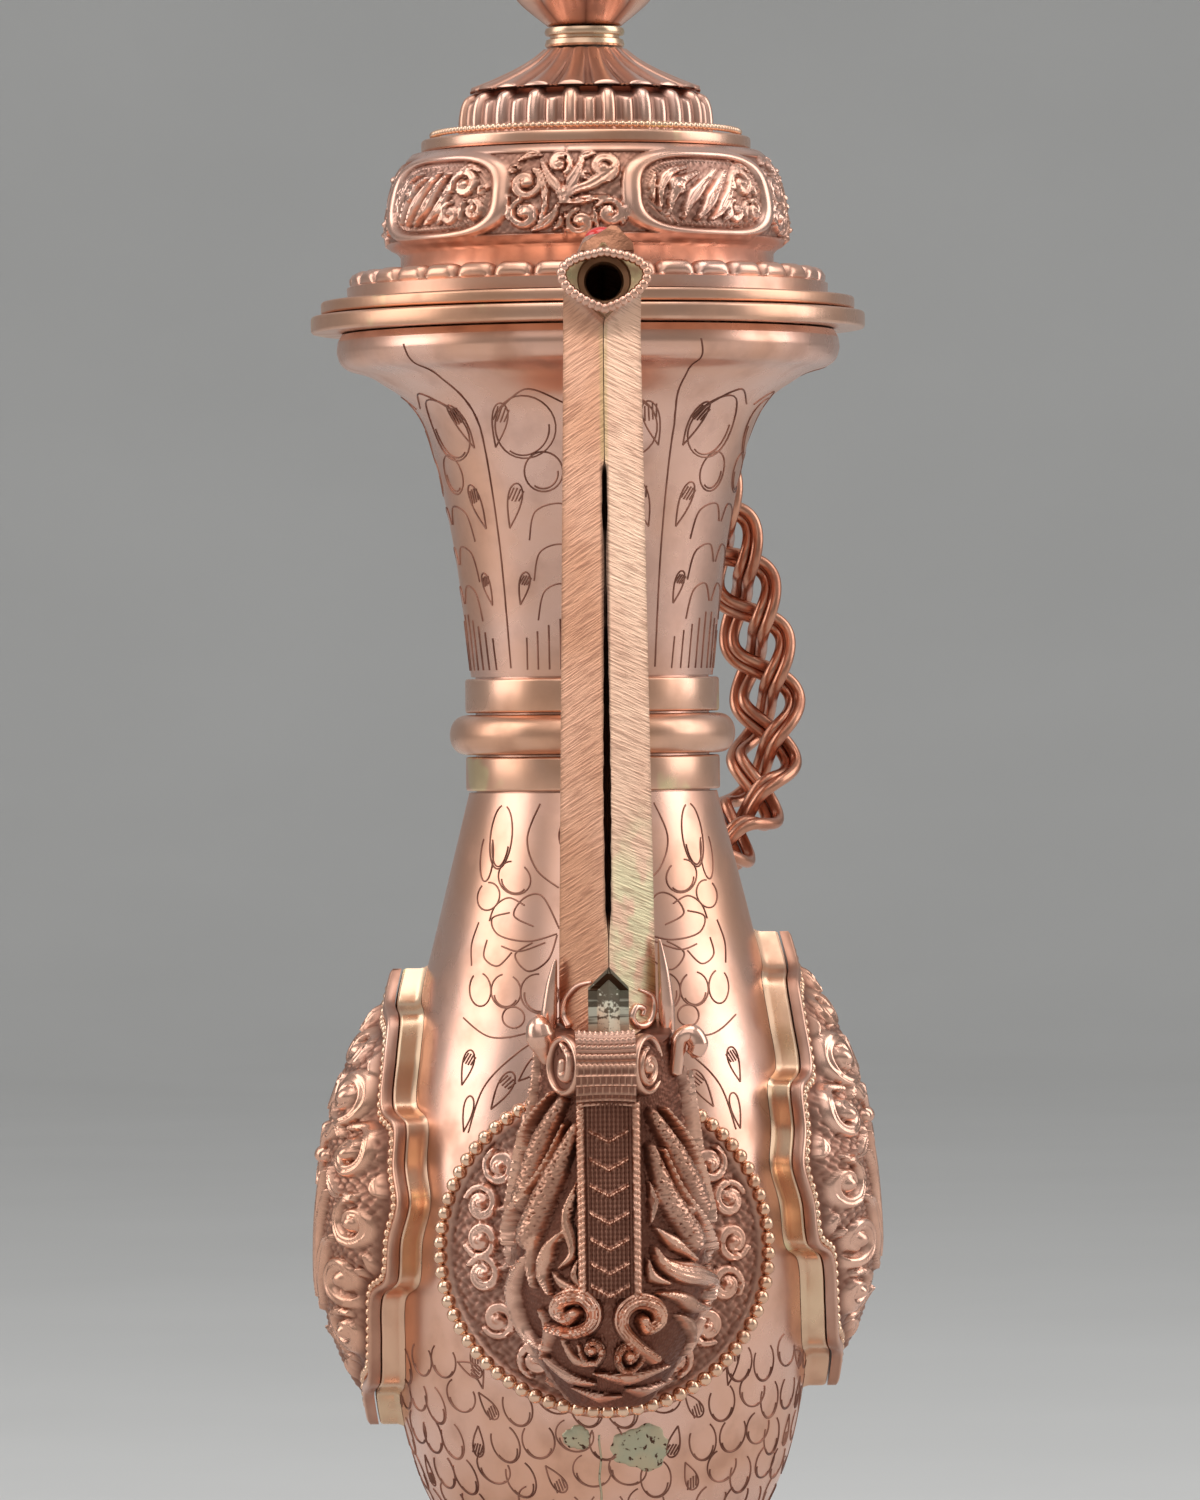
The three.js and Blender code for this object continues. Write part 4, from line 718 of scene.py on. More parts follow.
one_side = [
    *curl(8.4, 17.2, 4.8, 200, 1.25, 1.43, 1.7),
    *curl(13.4, 8.2, 4.4, 120, -1.2, 1.30, 1.7),
    *curl(15.8, -3.4, 4.2, 90, 1.2, 1.30, 1.6),
    *curl(11.2, -12.8, 4.6, 20, -1.25, 1.43, 1.7),
    *curl(9.0, -21.6, 3.7, 60, 1.2, 1.17, 1.6),
    *curl(3.6, 24.6, 3.5, -40, 1.2, 1.17, 1.6),
    *curl(4.0, -28.0, 2.9, 90, -1.2, 1.04, 1.4),
    *curl(20.2, 3.4, 2.4, 90, -1.1, 0.91, 1.4),
    *curl(12.6, 22.6, 2.4, 30, 1.1, 0.91, 1.4),
    *leaf([(0.8, -16.0), (3.0, -10.0), (4.4, -4.0), (8.4, 1.6)], 1.69, 1.9),
    *leaf([(1.6, -18.0), (5.0, -12.6), (7.4, -7.6), (11.0, -5.6)], 1.56, 1.8),
    *leaf([(0.6, -13.6), (1.6, -7.0), (3.2, -1.0), (5.6, 4.6)], 1.56, 1.9),
    *leaf([(2.0, 12.0), (5.2, 10.6), (7.6, 12.2), (9.6, 10.6)], 1.30, 1.6),
    *leaf([(0.8, 14.8), (2.6, 17.6), (3.2, 20.4)], 1.43, 1.6),
    *leaf([(1.4, -21.4), (3.4, -22.6), (5.0, -24.8)], 1.30, 1.5),
    *leaf([(8.6, 5.4), (9.4, 3.0), (11.8, 1.4), (16.6, 1.2)], 1.17, 1.5),
    *leaf([(0.6, 27.6), (0.5, 30.4), (1.6, 33.0)], 1.17, 1.3),
    *leaf([(17.6, -8.4), (18.4, -11.6), (16.4, -15.6)], 1.17, 1.4),
]
FLOWER_MIDDLE = 7.2
flower = [[[(0, FLOWER_MIDDLE), (0, FLOWER_MIDDLE + 0.1)], (1.7, 1.7, 1.7), 2.4, 0]]
for a in turns(8):
    petal = [(reach * math.sin(a), FLOWER_MIDDLE + reach * math.cos(a)) for reach in (2.3, 4.4)]
    flower.append([petal, (0.8, 1.3, 1.2), 1.9, 0.2])


def side_field(u, v, share):
    strands = np.maximum(carved(np.abs(u), v, one_side), 0.3 + 0.25 * pebbled(u, v, 2.9, 1.9, 3.1))
    strands = np.maximum(strands, carved(u, v, flower)) * held((0.87 - share) / 0.04)
    return np.maximum(strands, 0.9 * rounded(share - 0.972, 0.034))


SIDE_PROFILE = [(0, 10.2), (0.4, 10.1), (0.6, 9.2), (0.76, 7.4), (0.86, 5.6), (0.93, 5.1), (1, 5.1)]
for side, azimuth, centre in (("left", -math.pi / 2, 99.0), ("right", math.pi / 2, 104.4)):
    standing = medallion_collar(side + "_collar", azimuth, centre, bracket_outline, 3.9)
    finished(standing, "vessel", "brass_sheet", brass_sheet, side + "_medallion_collar")
    plaque = medallion_plate(
        side + "_plaque", azimuth, centre, bracket_outline, 4.2, SIDE_PROFILE, side_field, 110
    )
    finished(plaque, "vessel", "cast_copper", cast_copper, side + "_medallion_plaque")
    u, v = bracket_outline.T * 0.91
    bead_line = on_belly(azimuth, u, centre + v, 5.3)
    beads = grown(
        side + "_beads", [bead_line], brass_beads, True, Count=116, Radius=0.0008, Wire=0.0005
    )
    finished(beads, "vessel", "cast_copper", cast_copper)

# The spout: a tube folded from one sheet into a square on its corner, its seam open along the
# front ridge. It is filed aslant, bends over at the top and ends in a flared brass mouth.
SPOUT_DISTANCE = 57
SPOUT_FOOT = 118
LEAN = math.radians(5)
SPOUT_LENGTH = 119.5
SPOUT_HALF = 8
SPOUT_TAPER = 1.8
SPOUT_WALL = 1.4
BEND_RADIUS = 9
MOUTH_ANGLE = math.radians(85)
BEND_LENGTH = BEND_RADIUS * (MOUTH_ANGLE - LEAN)
SPOUT_END = SPOUT_LENGTH + BEND_LENGTH + 2.5
SIDEWAYS = np.array([1.0, 0, 0])


def spout_axis(distance):
    """The place of the spout's axis at a distance from its foot, and its frontward direction."""
    straight = min(distance, SPOUT_LENGTH)
    bent = min(max(distance - SPOUT_LENGTH, 0), BEND_LENGTH)
    after = max(distance - SPOUT_LENGTH - BEND_LENGTH, 0)
    angle = LEAN + bent / BEND_RADIUS
    out = SPOUT_DISTANCE + straight * math.sin(LEAN)
    out += BEND_RADIUS * (math.cos(LEAN) - math.cos(angle)) + after * math.sin(angle)
    up = SPOUT_FOOT + straight * math.cos(LEAN)
    up += BEND_RADIUS * (math.sin(angle) - math.sin(LEAN)) + after * math.cos(angle)
    return np.array([0, -out, up]), np.array([0, -math.cos(angle), -math.sin(angle)])


def spout_ring(distance, shape):
    """A shape of [sideways, forwards] pairs, set across the spout's axis."""
    place, front = spout_axis(distance)
    shape = np.asarray(shape, float)
    return place + shape[:, 1:] * front + shape[:, :1] * SIDEWAYS


# Half the width of the open seam at distances from the spout's foot.
SEAM = [(0, 0.08), (25, 0.08), (31, 0.46), (48, 0.62), (66, 0.42), (78, 0.25), (86, 0.14)]
SEAM += [(92, 0.42), (98, 0.4), (101, 0.07), (140, 0.07)]
SEAM_DEPTH = 1.2
FACET_TOP = 20.5
FACET_HALF = 3.2
CORNER = 0.55


def spout_half(distance):
    """From the spout's axis to its corners."""
    return SPOUT_HALF - SPOUT_TAPER * min(distance / SPOUT_LENGTH, 1)


def spout_section(distance):
    """The folded section from its open seam round the back, filed flat in front near the foot."""
    half = spout_half(distance)
    wander = 0.09 * math.sin(distance * 0.9) + 0.07 * math.sin(distance * 2.3 + 1)
    gap, depth = np.interp(distance, *zip(*SEAM)) * (1 + wander), SEAM_DEPTH
    filed = min(max((FACET_TOP - distance) * 0.95, 0), FACET_HALF)
    if filed > gap:
        gap, depth = filed, 0.0
    c = CORNER
    face = np.linspace(0, 1, 9)[1:-1]
    right = [(gap + (half - c - gap) * t, half - gap - (half - c - gap) * t) for t in face]
    rear = [((half - c) * (1 - t) + c * t, -c * (1 - t) - (half - c) * t) for t in face]
    edge = [(half - c, c), (half - 0.22 * c, 0.5 * c), (half - 0.22 * c, -0.5 * c), (half - c, -c)]
    back = [(-v, -u) for u, v in edge[::-1]]
    front = [(gap * 0.35, half - gap - depth), (gap, half - gap)]
    half_way = [*front, *right, *edge, *rear]
    return [*half_way, *back, *[(-a, b) for a, b in half_way[::-1]]]


def diamond(half, count):
    """A square that stands on its corner."""
    sine, cosine = np.sin(turns(count)), np.cos(turns(count))
    return np.stack([sine, cosine], -1) * (half / (np.abs(sine) + np.abs(cosine)))[:, None]


def bore_ring(distance):
    count = len(spout_section(distance))
    return spout_ring(distance, diamond(spout_half(distance) - SPOUT_WALL, count))


stations = [*np.linspace(0, SPOUT_LENGTH, 120), *np.linspace(SPOUT_LENGTH, SPOUT_END, 26)[1:]]
outside = [spout_ring(s, spout_section(s)) for s in stations]
inside = [bore_ring(s) for s in [*stations[::-6], 0]]
spout = wrapped("spout", np.array(outside + inside), None, 35, close_rows=True)

# Its finish: file marks that slope differently on the two faces, painted shade on the left face and
# painted light on the right, solder at the foot, a painted shadow in the open seam and a painted
# reflection on the filed facet.
filed_copper, shader, place = start_material("filed_copper")
spot = place.node("ShaderNodeSeparateXYZ", {}, {"Vector": place})
x, z = spot.out("X"), spot.out("Z")
across = x.math("ABSOLUTE", x)
right = x.between(-0.0002, 0.0002)
cloud = place.noise(60, 4).between(0.3, 0.7)
left_marks = place.tipped(34).noise(3600, 3, (0.06, 0.06, 1))
right_marks = place.tipped(-24).noise(3600, 3, (0.06, 0.06, 1))
marks = left_marks + right * (right_marks - left_marks)
# The left face gets darker tones than the right: painted shade on the left face and painted light
# on the right, on one sheet.
warm = cloud.mixed((0.66, 0.36, 0.24, 1), (0.56, 0.28, 0.17, 1))
pink = cloud.mixed((0.80, 0.53, 0.38, 1), (0.72, 0.44, 0.31, 1))
colour = right.mixed(warm, pink)
soldered = (z * -1 + 0.158 + cloud * 0.012).between(0, 0.012) * x.between(-0.001, 0.002)
edge = (soldered * place.noise(220, 2).between(0.35, 0.55)) * 0.8
colour = edge.mixed(colour, (0.70, 0.64, 0.40, 1))
colour = (marks.between(0.47, 0.64) * 0.42).mixed(colour, (0.24, 0.10, 0.065, 1))
# The open seam is painted near black: painted shadow in the gap, where the solder has not filled
# it.
seam = 1 - across.between(0.0003, 0.0009)
opened, filled = z.between(0.1440, 0.1475), z.between(0.2165, 0.218)
colour = (seam * opened * 0.9 * (1 - filled)).mixed(colour, (0.085, 0.045, 0.03, 1))
solder = seam * filled * cloud.between(0.2, 0.6)
colour = (solder * 0.6).mixed(colour, (0.44, 0.31, 0.14, 1))
pointed = (z * 0.953 + across - 0.13192).between(-0.0001, 0.0001)
facet = (1 - across.between(0.0031, 0.0033)) * (1 - pointed)
scratches = place.noise(1300, 2, (0.05, 1, 1))
# The filed facet is painted as a mirror: a painted dark reflection above a ragged line and a
# painted bright reflection below it.
painted_bright_reflection = 1 - (z + (scratches - 0.5) * 0.02).between(0.1300, 0.1330)
colour = (facet * 0.9).mixed(colour, painted_bright_reflection.mixed((0.10, 0.095, 0.07, 1), (0.72, 0.70, 0.56, 1)))
height = marks * 0.00009 * (1 - facet) + scratches * facet * 0.00001
metal(filed_copper, shader, colour, 0.27 + marks * 0.12 - facet * 0.03, height)
finished(spout, "vessel", "sheet_copper", filed_copper, "spout_tube")

# The pouring mouth: a brass plate with a round bore, flared into a lip that is pointed below,
# with a twisted wire soldered round it. A cup on the crest behind it holds a red stone.
MOUTH_START = SPOUT_END + 0.3
MOUTH_DEPTH = 3.2
LIP_STEPS = 96


def lip_outline(half_width, drop, lift):
    """The lip seen from its front: pointed at the middle of its top and below."""
    turn = turns(LIP_STEPS)
    ahead = np.cos(turn)
    side = np.sin(turn) * np.abs(np.sin(turn)) ** 0.15
    pull = 1 - np.where(ahead > 0, 0.12, -0.1) * np.abs(np.sin(2 * turn))
    height = np.where(ahead > 0, drop, lift + 0.4 * bell(turn - math.pi, 0.22))
    return np.stack([side * half_width * pull, ahead * height * pull], -1)


def round_hole(radius, ahead=0.1):
    return ellipse(radius, radius, LIP_STEPS) + [0, ahead]


foot_shape = diamond(5.7, LIP_STEPS)
lip_shape = lip_outline(7.0, 5.2, 4.0)
inner_lip = lip_outline(6.2, 4.5, 3.4)
mouth_rows = [
    (0, foot_shape),
    (0.8, (foot_shape * 2 + lip_shape) / 3),
    (1.9, (foot_shape + lip_shape * 2) / 3),
    (MOUTH_DEPTH - 0.5, lip_outline(7.2, 5.4, 4.2)),
    (MOUTH_DEPTH, lip_shape),
    (MOUTH_DEPTH - 0.1, inner_lip),
    (MOUTH_DEPTH - 0.8, (round_hole(4.4) * 2 + inner_lip) / 3),
    (MOUTH_DEPTH - 1.0, round_hole(4.2)),
    (MOUTH_DEPTH - 1.6, round_hole(4.05)),
    (MOUTH_DEPTH - 2.2, round_hole(3.95)),
    (MOUTH_DEPTH - 2.3, round_hole(3.1, 0.2)),
    (0, round_hole(2.8, 0.2)),
]
mouth_rows = [spout_ring(MOUTH_START + depth, shape) for depth, shape in mouth_rows]
mouth = wrapped("pouring_mouth", np.array(mouth_rows), None, 45, close_rows=True)
# Brass solder on the flared face, and painted shade that turns it brown and dark down the bore.
mouth_brass, shader, place = start_material("mouth_brass")
cloud = place.noise(420, 4).between(0.35, 0.65)
# Painted shade: darker the deeper a place lies in the bore.
deep = place.node("ShaderNodeSeparateXYZ", {}, {"Vector": place}).out("Y") + 0.0810
deep = deep.between(0, 0.0016)
colour = cloud.mixed((0.72, 0.55, 0.30, 1), (0.55, 0.34, 0.20, 1))
colour = deep.mixed(colour, (0.30, 0.15, 0.08, 1))
roughness = 0.26 + cloud * 0.16 + deep * 0.2
metal(mouth_brass, shader, colour, roughness, place.noise(900, 3) * 0.00006)
finished(mouth, "vessel", "brass_sheet", mouth_brass, "spout_mouth")
lip_line = spout_ring(MOUTH_START + MOUTH_DEPTH + 0.45, lip_outline(6.55, 4.75, 3.6))
rope_beads = beaded_wire(cast_copper)
lip_rope = grown(
    "lip_rope", [lip_line], rope_beads, True, Count=33, Radius=0.00082, Wire=0.00045
)
finished(lip_rope, "vessel", "cast_copper", cast_copper, "spout_lip_beads")

CREST_STATION = SPOUT_LENGTH + BEND_LENGTH * 0.86
CREST_LIFT = 6.2
crest_place, crest_front = spout_axis(CREST_STATION)
crest_up = -crest_front
crest_along = np.cross(crest_up, SIDEWAYS)


def crest_turned(name, outline):
    """A piece turned about the line that stands square on the spout's crest."""
    radius, height = np.array(outline, float).T[..., None, None]
    turn = turns(64)[:, None]
    across = SIDEWAYS * np.cos(turn) + crest_along * np.sin(turn)
    rows = crest_place + crest_up * (CREST_LIFT + height) + radius * across
    return wrapped(name, rows)


cup_outline = [(0, -2.3), (3.6, -2.3), (4.3, -1.8), (3.9, -0.6), (3.4, 0.6), (3.1, 1.3)]
cup_outline += [(2.95, 1.45), (2.8, 1.3), (2.8, 0.9), (0, 0.9)]
stone_cup = crest_turned("stone_cup", cup_outline)
finished(stone_cup, "vessel", "cast_copper", cast_copper, "spout_bezel")

# The gable behind the cup is a brown plate that hides the stone's foot from in front.
gable_line = [(-3.6, 4.2), (-3.3, 5.4), (-1.6, 6.6), (0.1, 7.6), (1.3, 8.5), (2.3, 8.3), (3.4, 7.0)]
gable_line = np.array([*gable_line, (4.7, 5.5), (4.8, 4.2)])
gable_middle = [0, 6.0]
gable_rows = []
for depth, size in ((3.2, 0.94), (3.3, 1.0), (4.5, 1.0), (4.6, 0.94)):
    u, v = (gable_middle + (gable_line - gable_middle) * size).T[..., None]
    gable_rows.append(crest_place + u * SIDEWAYS + v * crest_up - depth * crest_along)
brown_copper = copper(
    "brown_copper", (0.42, 0.20, 0.12, 1), (0.30, 0.13, 0.075, 1), 0.34, 0.0001, grain=0.00012
)
crest_gable = wrapped("crest_gable", np.array(gable_rows))
finished(crest_gable, "vessel", "cast_copper", brown_copper)
stone_outline = [(0, 1.0), (2.65, 1.0), (2.7, 1.5)]
stone_outline += [(2.7 * math.cos(a), 1.6 + 1.75 * math.sin(a)) for a in np.linspace(0.1, 1.45, 12)]
red_stone = crest_turned("red_stone", [*stone_outline, (0, 3.36)])
stone_red, shader, place = start_material("red_stone")
veins = place.noise(700, 4).between(0.4, 0.7)
attach(shader, "Base Color", veins.mixed((0.78, 0.028, 0.018, 1), (0.62, 0.012, 0.010, 1)))
attach(shader, "Roughness", 0.14 + veins * 0.06)
shader.inputs["Coat Weight"].default_value = 0.6
finished(red_stone, "vessel", "red_stone", stone_red, "spout_cabochon")

# The makara head: one solid casting, chased up afterwards, that the spout stands in. Fins, flame
# leaves and volutes spread over its face on both sides of a scaled strip. It is soldered on.
HEAD_LEVELS = [(68.1, 5.0, 46.0, 6.0), (69.5, 6.8, 46.8, 8.0), (76.0, 11.2, 49.6, 12.8)]
HEAD_LEVELS += [(86.0, 14.9, 51.6, 16.0), (98.0, 14.7, 52.6, 15.6), (110.0, 12.6, 54.8, 12.6)]
HEAD_LEVELS += [(120.0, 11.2, 57.8, 9.6), (129.7, 9.8, 58.2, 8.6)]
HEAD_ROUND = 15.5
HEAD_STANDOFF = 5.0
head_levels = spline(HEAD_LEVELS, 80)


def head_size(height):
    """Half width, middle and half depth of the head's core at a height."""
    return [np.interp(height, head_levels[:, 0], head_levels[:, i]) for i in (1, 2, 3)]


def head_points(turn, height, lift):
    """Places on the head: turn 0 is its front, and its back lies against the medallion."""
    wide, middle, deep = head_size(height)
    across, ahead = np.sin(turn) / wide, np.cos(turn) / deep
    size = np.hypot(across, ahead)
    x = wide * np.sin(turn) + lift * across / size
    y = -middle - deep * np.cos(turn) - lift * ahead / size
    least = wall_radius(belly_side, height) + HEAD_STANDOFF
    grow = np.maximum(least / np.hypot(x, y), 1)
    return np.stack([x * grow, y * grow, height + 0 * x], -1)


def unrolled(*line):
    """A line seen from the front, as (sideways, height) pairs, laid out on the head's skin."""
    line = np.array(line, float)
    share = np.clip(line[:, 0] / head_size(line[:, 1])[0], -0.985, 0.985)
    return np.stack([HEAD_ROUND * np.arcsin(share), line[:, 1]], -1)


def scroll(centre, radius, start, wound, wide, lift):
    """A curl round a place seen from the front."""
    u, v = unrolled(centre)[0]
    return curl(u, v, radius, start, wound, wide, lift, 18)


def pitted(u, v, line, radius, depth, gap):
    """Small punched pits along a line."""
    run = spline(line, 6 * len(line))
    sunk = np.zeros_like(u)
    for k, (a, b) in enumerate(spread(run, np.arange(gap, run_along(run)[-1], gap))):
        a += 0.3 if k % 2 else -0.3
        sunk += depth * np.exp(-((u - a) ** 2 + (v - b) ** 2) / radius**2)
    return sunk


fins = [
    [unrolled((-6.8, 117.4), (-10.4, 110.2), (-12.9, 102.4)), (1.2, 2.5, 2.8), 2.6, 0],
    [unrolled((-5.0, 113.4), (-8.4, 105.6), (-12.2, 96.4)), (1.0, 2.4, 2.8), 2.8, 0],
    [unrolled((-4.8, 105.0), (-6.6, 99.6), (-7.6, 95.6)), (0.6, 1.1, 0.6), 1.4, 0],
    [unrolled((-10.6, 125.0), (-11.2, 119.0), (-12.6, 112.0)), (1.0, 1.3, 0.9), 1.5, 0],
    [unrolled((5.9, 115.2), (10.5, 107.2), (13.3, 101.0)), (1.2, 2.5, 2.8), 2.6, 0],
    [unrolled((5.6, 110.0), (8.4, 102.0), (12.2, 95.4)), (1.0, 2.3, 2.5), 2.8, 0],
    [unrolled((10.4, 122.0), (12.6, 116.6), (14.8, 109.4)), (1.1, 1.6, 1.0), 1.9, 0],
    [unrolled((8.3, 102.0), (8.4, 102.0)), (1.2, 1.2, 1.2), 2.9, 0],
    [unrolled((10.9, 100.0), (11.0, 100.0)), (1.0, 1.0, 1.0), 3.0, 0],
]
fin_edges = [
    unrolled((-8.2, 118.6), (-12.0, 111.6), (-15.4, 104.6), (-15.6, 100.4)),
    unrolled((-6.4, 113.8), (-10.2, 105.6), (-14.6, 98.6), (-15.4, 94.6)),
    unrolled((7.6, 116.0), (11.9, 108.8), (15.6, 101.6), (15.8, 97.8)),
    unrolled((7.2, 109.6), (10.0, 103.0), (13.4, 97.6), (14.8, 93.4)),
    unrolled((11.6, 121.6), (13.6, 115.8), (15.4, 109.2)),
]
edge_ridges = [[line, (0.5, 0.75, 0.6), 2.75, 0] for line in fin_edges]


def flame(wide, lift, *line):
    return leaf(unrolled(*line), wide, lift, 0.12)


flames = [
    *flame(1.3, 1.9, (-5.0, 104.6), (-6.8, 99.6), (-5.8, 94.0), (-7.6, 91.4)),
    *flame(1.1, 1.7, (-5.0, 92.6), (-5.6, 90.2), (-4.6, 88.4)),
    *flame(1.1, 1.8, (5.4, 104.6), (6.2, 101.6), (5.6, 98.4)),
    *flame(1.2, 1.7, (5.2, 92.4), (6.0, 89.8), (8.4, 88.6)),
    *flame(1.4, 1.8, (-10.9, 96.0), (-12.2, 92.6), (-11.6, 88.2)),
    *flame(1.5, 2.4, (-7.0, 97.0), (-9.2, 94.5), (-10.2, 90.4), (-9.0, 87.2)),
    *flame(2.1, 2.6, (-12.4, 92.6), (-14.3, 88.1), (-13.7, 83.5), (-12.0, 79.9), (-9.5, 78.0)),
    *flame(1.0, 1.7, (-8.6, 90.6), (-7.4, 88.7), (-5.2, 88.2)),
    *flame(1.4, 2.2, (6.2, 97.4), (8.0, 95.9), (10.3, 94.0), (12.2, 92.0)),
    *flame(
        2.1, 2.7, (6.0, 94.2), (7.3, 92.0), (9.8, 90.5), (13.0, 89.5), (15.0, 87.8), (14.4, 85.4)
    ),
    *flame(1.4, 2.2, (6.4, 87.2), (9.8, 86.4), (12.6, 84.4), (15.0, 84.0)),
    *flame(1.2, 1.8, (9.6, 83.4), (11.6, 81.6), (12.0, 78.6)),
    *flame(1.5, 1.9, (15.2, 82.0), (13.4, 79.0), (11.0, 76.6)),
    *flame(1.2, 1.8, (-10.6, 84.6), (-9.4, 80.6), (-10.0, 76.4)),
    *flame(1.3, 1.9, (-2.6, 74.2), (2.6, 73.2), (8.0, 75.0)),
    *flame(1.3, 1.9, (-10.0, 77.0), (-6.4, 73.4), (-2.4, 72.4)),
    *flame(1.1, 1.8, (-7.2, 79.8), (-5.4, 76.4), (-2.2, 75.6)),
    *flame(1.1, 1.7, (2.0, 71.4), (5.0, 70.8), (7.6, 72.0)),
    *flame(1.0, 1.7, (-5.4, 71.6), (-2.0, 70.0), (1.4, 70.2)),
    *scroll((-2.9, 78.0), 2.5, 160, 1.2, 0.9, 2.1),
    *scroll((2.3, 77.0), 3.0, 20, -1.3, 0.95, 2.3),
]
for line in (
    [(-8.9, 81.6), (-6.0, 80.9), (-3.2, 82.2), (-2.8, 84.8), (-4.7, 86.9), (-7.4, 86.2)]
    + [(-7.9, 84.2), (-6.6, 83.2), (-5.4, 84.2)],
    [(5.9, 76.4), (3.3, 79.0), (1.3, 81.9), (1.6, 84.6), (3.7, 86.1), (6.2, 85.0)]
    + [(6.6, 82.7), (5.1, 81.5), (4.2, 82.9)],
):
    x, z = line[-1]
    flames.append([unrolled(*line), (1.0, 1.6, 1.1), 3.1, 0.14])
    flames.append([unrolled((x, z), (x + 0.1, z)), (1.0,) * 3, 3.2, 0])


def beside(side, *line):
    """A line of pairs on one side of the head, or its mirror image for side -1."""
    return [(side * u, v) for u, v in line]


for side in (-1, 1):
    for u, v, radius, start in ((26, 101, 2.7, 0), (28, 93, 2.8, 40), (27, 84.6, 2.8, 80)):
        flames += curl(side * u, v, radius, 90 - side * (90 - start), side * 1.2, 0.95, 1.7, 16)
    flames += leaf(beside(side, (20, 91), (22.4, 86), (21.4, 79)), 1.4, 1.6)
    mane = ((33, 121, 3.4), (35, 111, 3.6), (35, 100.5, 3.6), (34, 90, 3.4), (30, 77, 2.8))
    for u, v, radius in mane:
        flames += curl(side * u, v, radius, 90 + side * 60, side * 1.15, 1.15, 1.9, 16)
        flames += leaf(beside(side, (u - 6, v - 5), (u - 1, v - 5.4), (u + 4, v - 3)), 1.5, 1.8)
    flames += leaf(beside(side, (40, 118), (41.4, 108), (40.6, 98)), 1.8, 1.5)
    flames += leaf(beside(side, (40.4, 97), (41, 88), (38, 78)), 1.8, 1.5)
    flames += leaf(beside(side, (21, 104), (24, 106.4), (29, 106.6)), 1.2, 1.7)
    flames += leaf(beside(side, (26.6, 117), (28.6, 121), (28.8, 126)), 1.3, 1.6)
    fins += [
        [beside(side, (25, 111.6), (25.1, 111.6)), (2.0, 2.0, 2.0), 2.3, 0],
        [beside(side, (20.6, 109), (23.6, 114.6), (28.6, 113.6)), (0.5, 1.0, 0.6), 1.9, 0],
        [beside(side, (21.6, 107.6), (25.4, 108.6), (29.4, 111)), (0.5, 0.8, 0.5), 1.6, 0],
    ]


def head_field(u, v):
    """The lift of the chased face over the core, and how deep in shade each place lies."""
    body = carved(u, v, fins)
    edges = carved(u, v, edge_ridges)
    for line in fin_edges:
        edges -= pitted(u, v, line, 0.22, 0.45, 0.62)
    leaves = carved(u, v, flames, 2.5)
    rough = 0.13 * pebbled(u, v, 5.3, 2.7, 5.9, 3.3, 2)
    pits = held(pebbled(u, v, 4.3, 2.1, 4.7, 0, 1.7) - 0.45)
    body += (rough * 1.6 - pits * 0.8) * (body > 0.4)
    ground = 0.3 + rough + 0.3 * pebbled(u, v, 1.9, 1.3, 1.7) * (np.abs(u) > 18)
    lift = np.maximum.reduce([body, edges, leaves, ground])
    shade = 1.0 - 0.3 * (np.abs(u) > 20) - np.maximum(leaves, edges) * 0.48 - body * 0.26
    shade += pits * 0.4 * (body > 0.4) + rough - held(ground - 0.3) * 0.8
    return lift, held(shade)


HEAD_FOOT = HEAD_LEVELS[0][0]
HEAD_CROWN = HEAD_LEVELS[-1][0]
share = np.linspace(-1, 1, 290, endpoint=False)[None, :]
turn = math.pi * (0.45 * share + 0.55 * share**3)
crown = HEAD_CROWN - 3.4 * held(1.6 * np.cos(turn))
height = HEAD_FOOT + (crown - HEAD_FOOT) * np.linspace(0, 1, 300)[:, None]
lift, shade = head_field(HEAD_ROUND * turn + 0 * height, height)
head = wrapped("makara_face", head_points(turn, height, lift), shade, 60)
finished(head, "vessel", "cast_copper", cast_copper, "makara_head")

# The strip down the head's face: a scaled band between two ropes, chased in the same casting.
STRIP_MIDDLE = -0.4
STRIP_HALF = 4.5
CHEVRONS = (111.1, 106.7, 102.6, 98.3, 94.2, 90.4, 86.9)
across = np.linspace(-1, 1, 90)[None, :] * STRIP_HALF
height = np.linspace(86.6, 117.4, 170)[:, None]
away = np.abs(across) + 0 * height
rope = rounded(away - 3.85, 0.62)
rope *= 0.95 + 0.22 * np.sin(2 * math.pi * (height + 0.5 * away) / 1.05)
hatch = 0.12 * np.sin(2 * math.pi * across / 0.62) + 0.06 * np.sin(2 * math.pi * height / 0.8)
ridge = np.zeros_like(away)
for tip in CHEVRONS:
    drop = height - tip - 0.62 * np.abs(across)
    ridge = np.maximum(ridge, 0.7 * bell(drop, 0.3) * (away < 2.75))
lift = 1.5 + rope + np.where(away < 3.0, hatch + ridge, 0)
shade = held(0.92 - rope * 0.95 - ridge * 2.4 - hatch)
turn = np.arcsin((across + STRIP_MIDDLE) / head_size(height)[0])
front = head_points(turn, height, lift)
back = head_points(turn[:, ::-18], height, 0)
shade = np.concatenate([shade, np.ones(back.shape[:2])], 1)
strip = wrapped("makara_strip", np.concatenate([front, back], 1), shade, 60)
finished(strip, "vessel", "cast_copper", cast_copper)

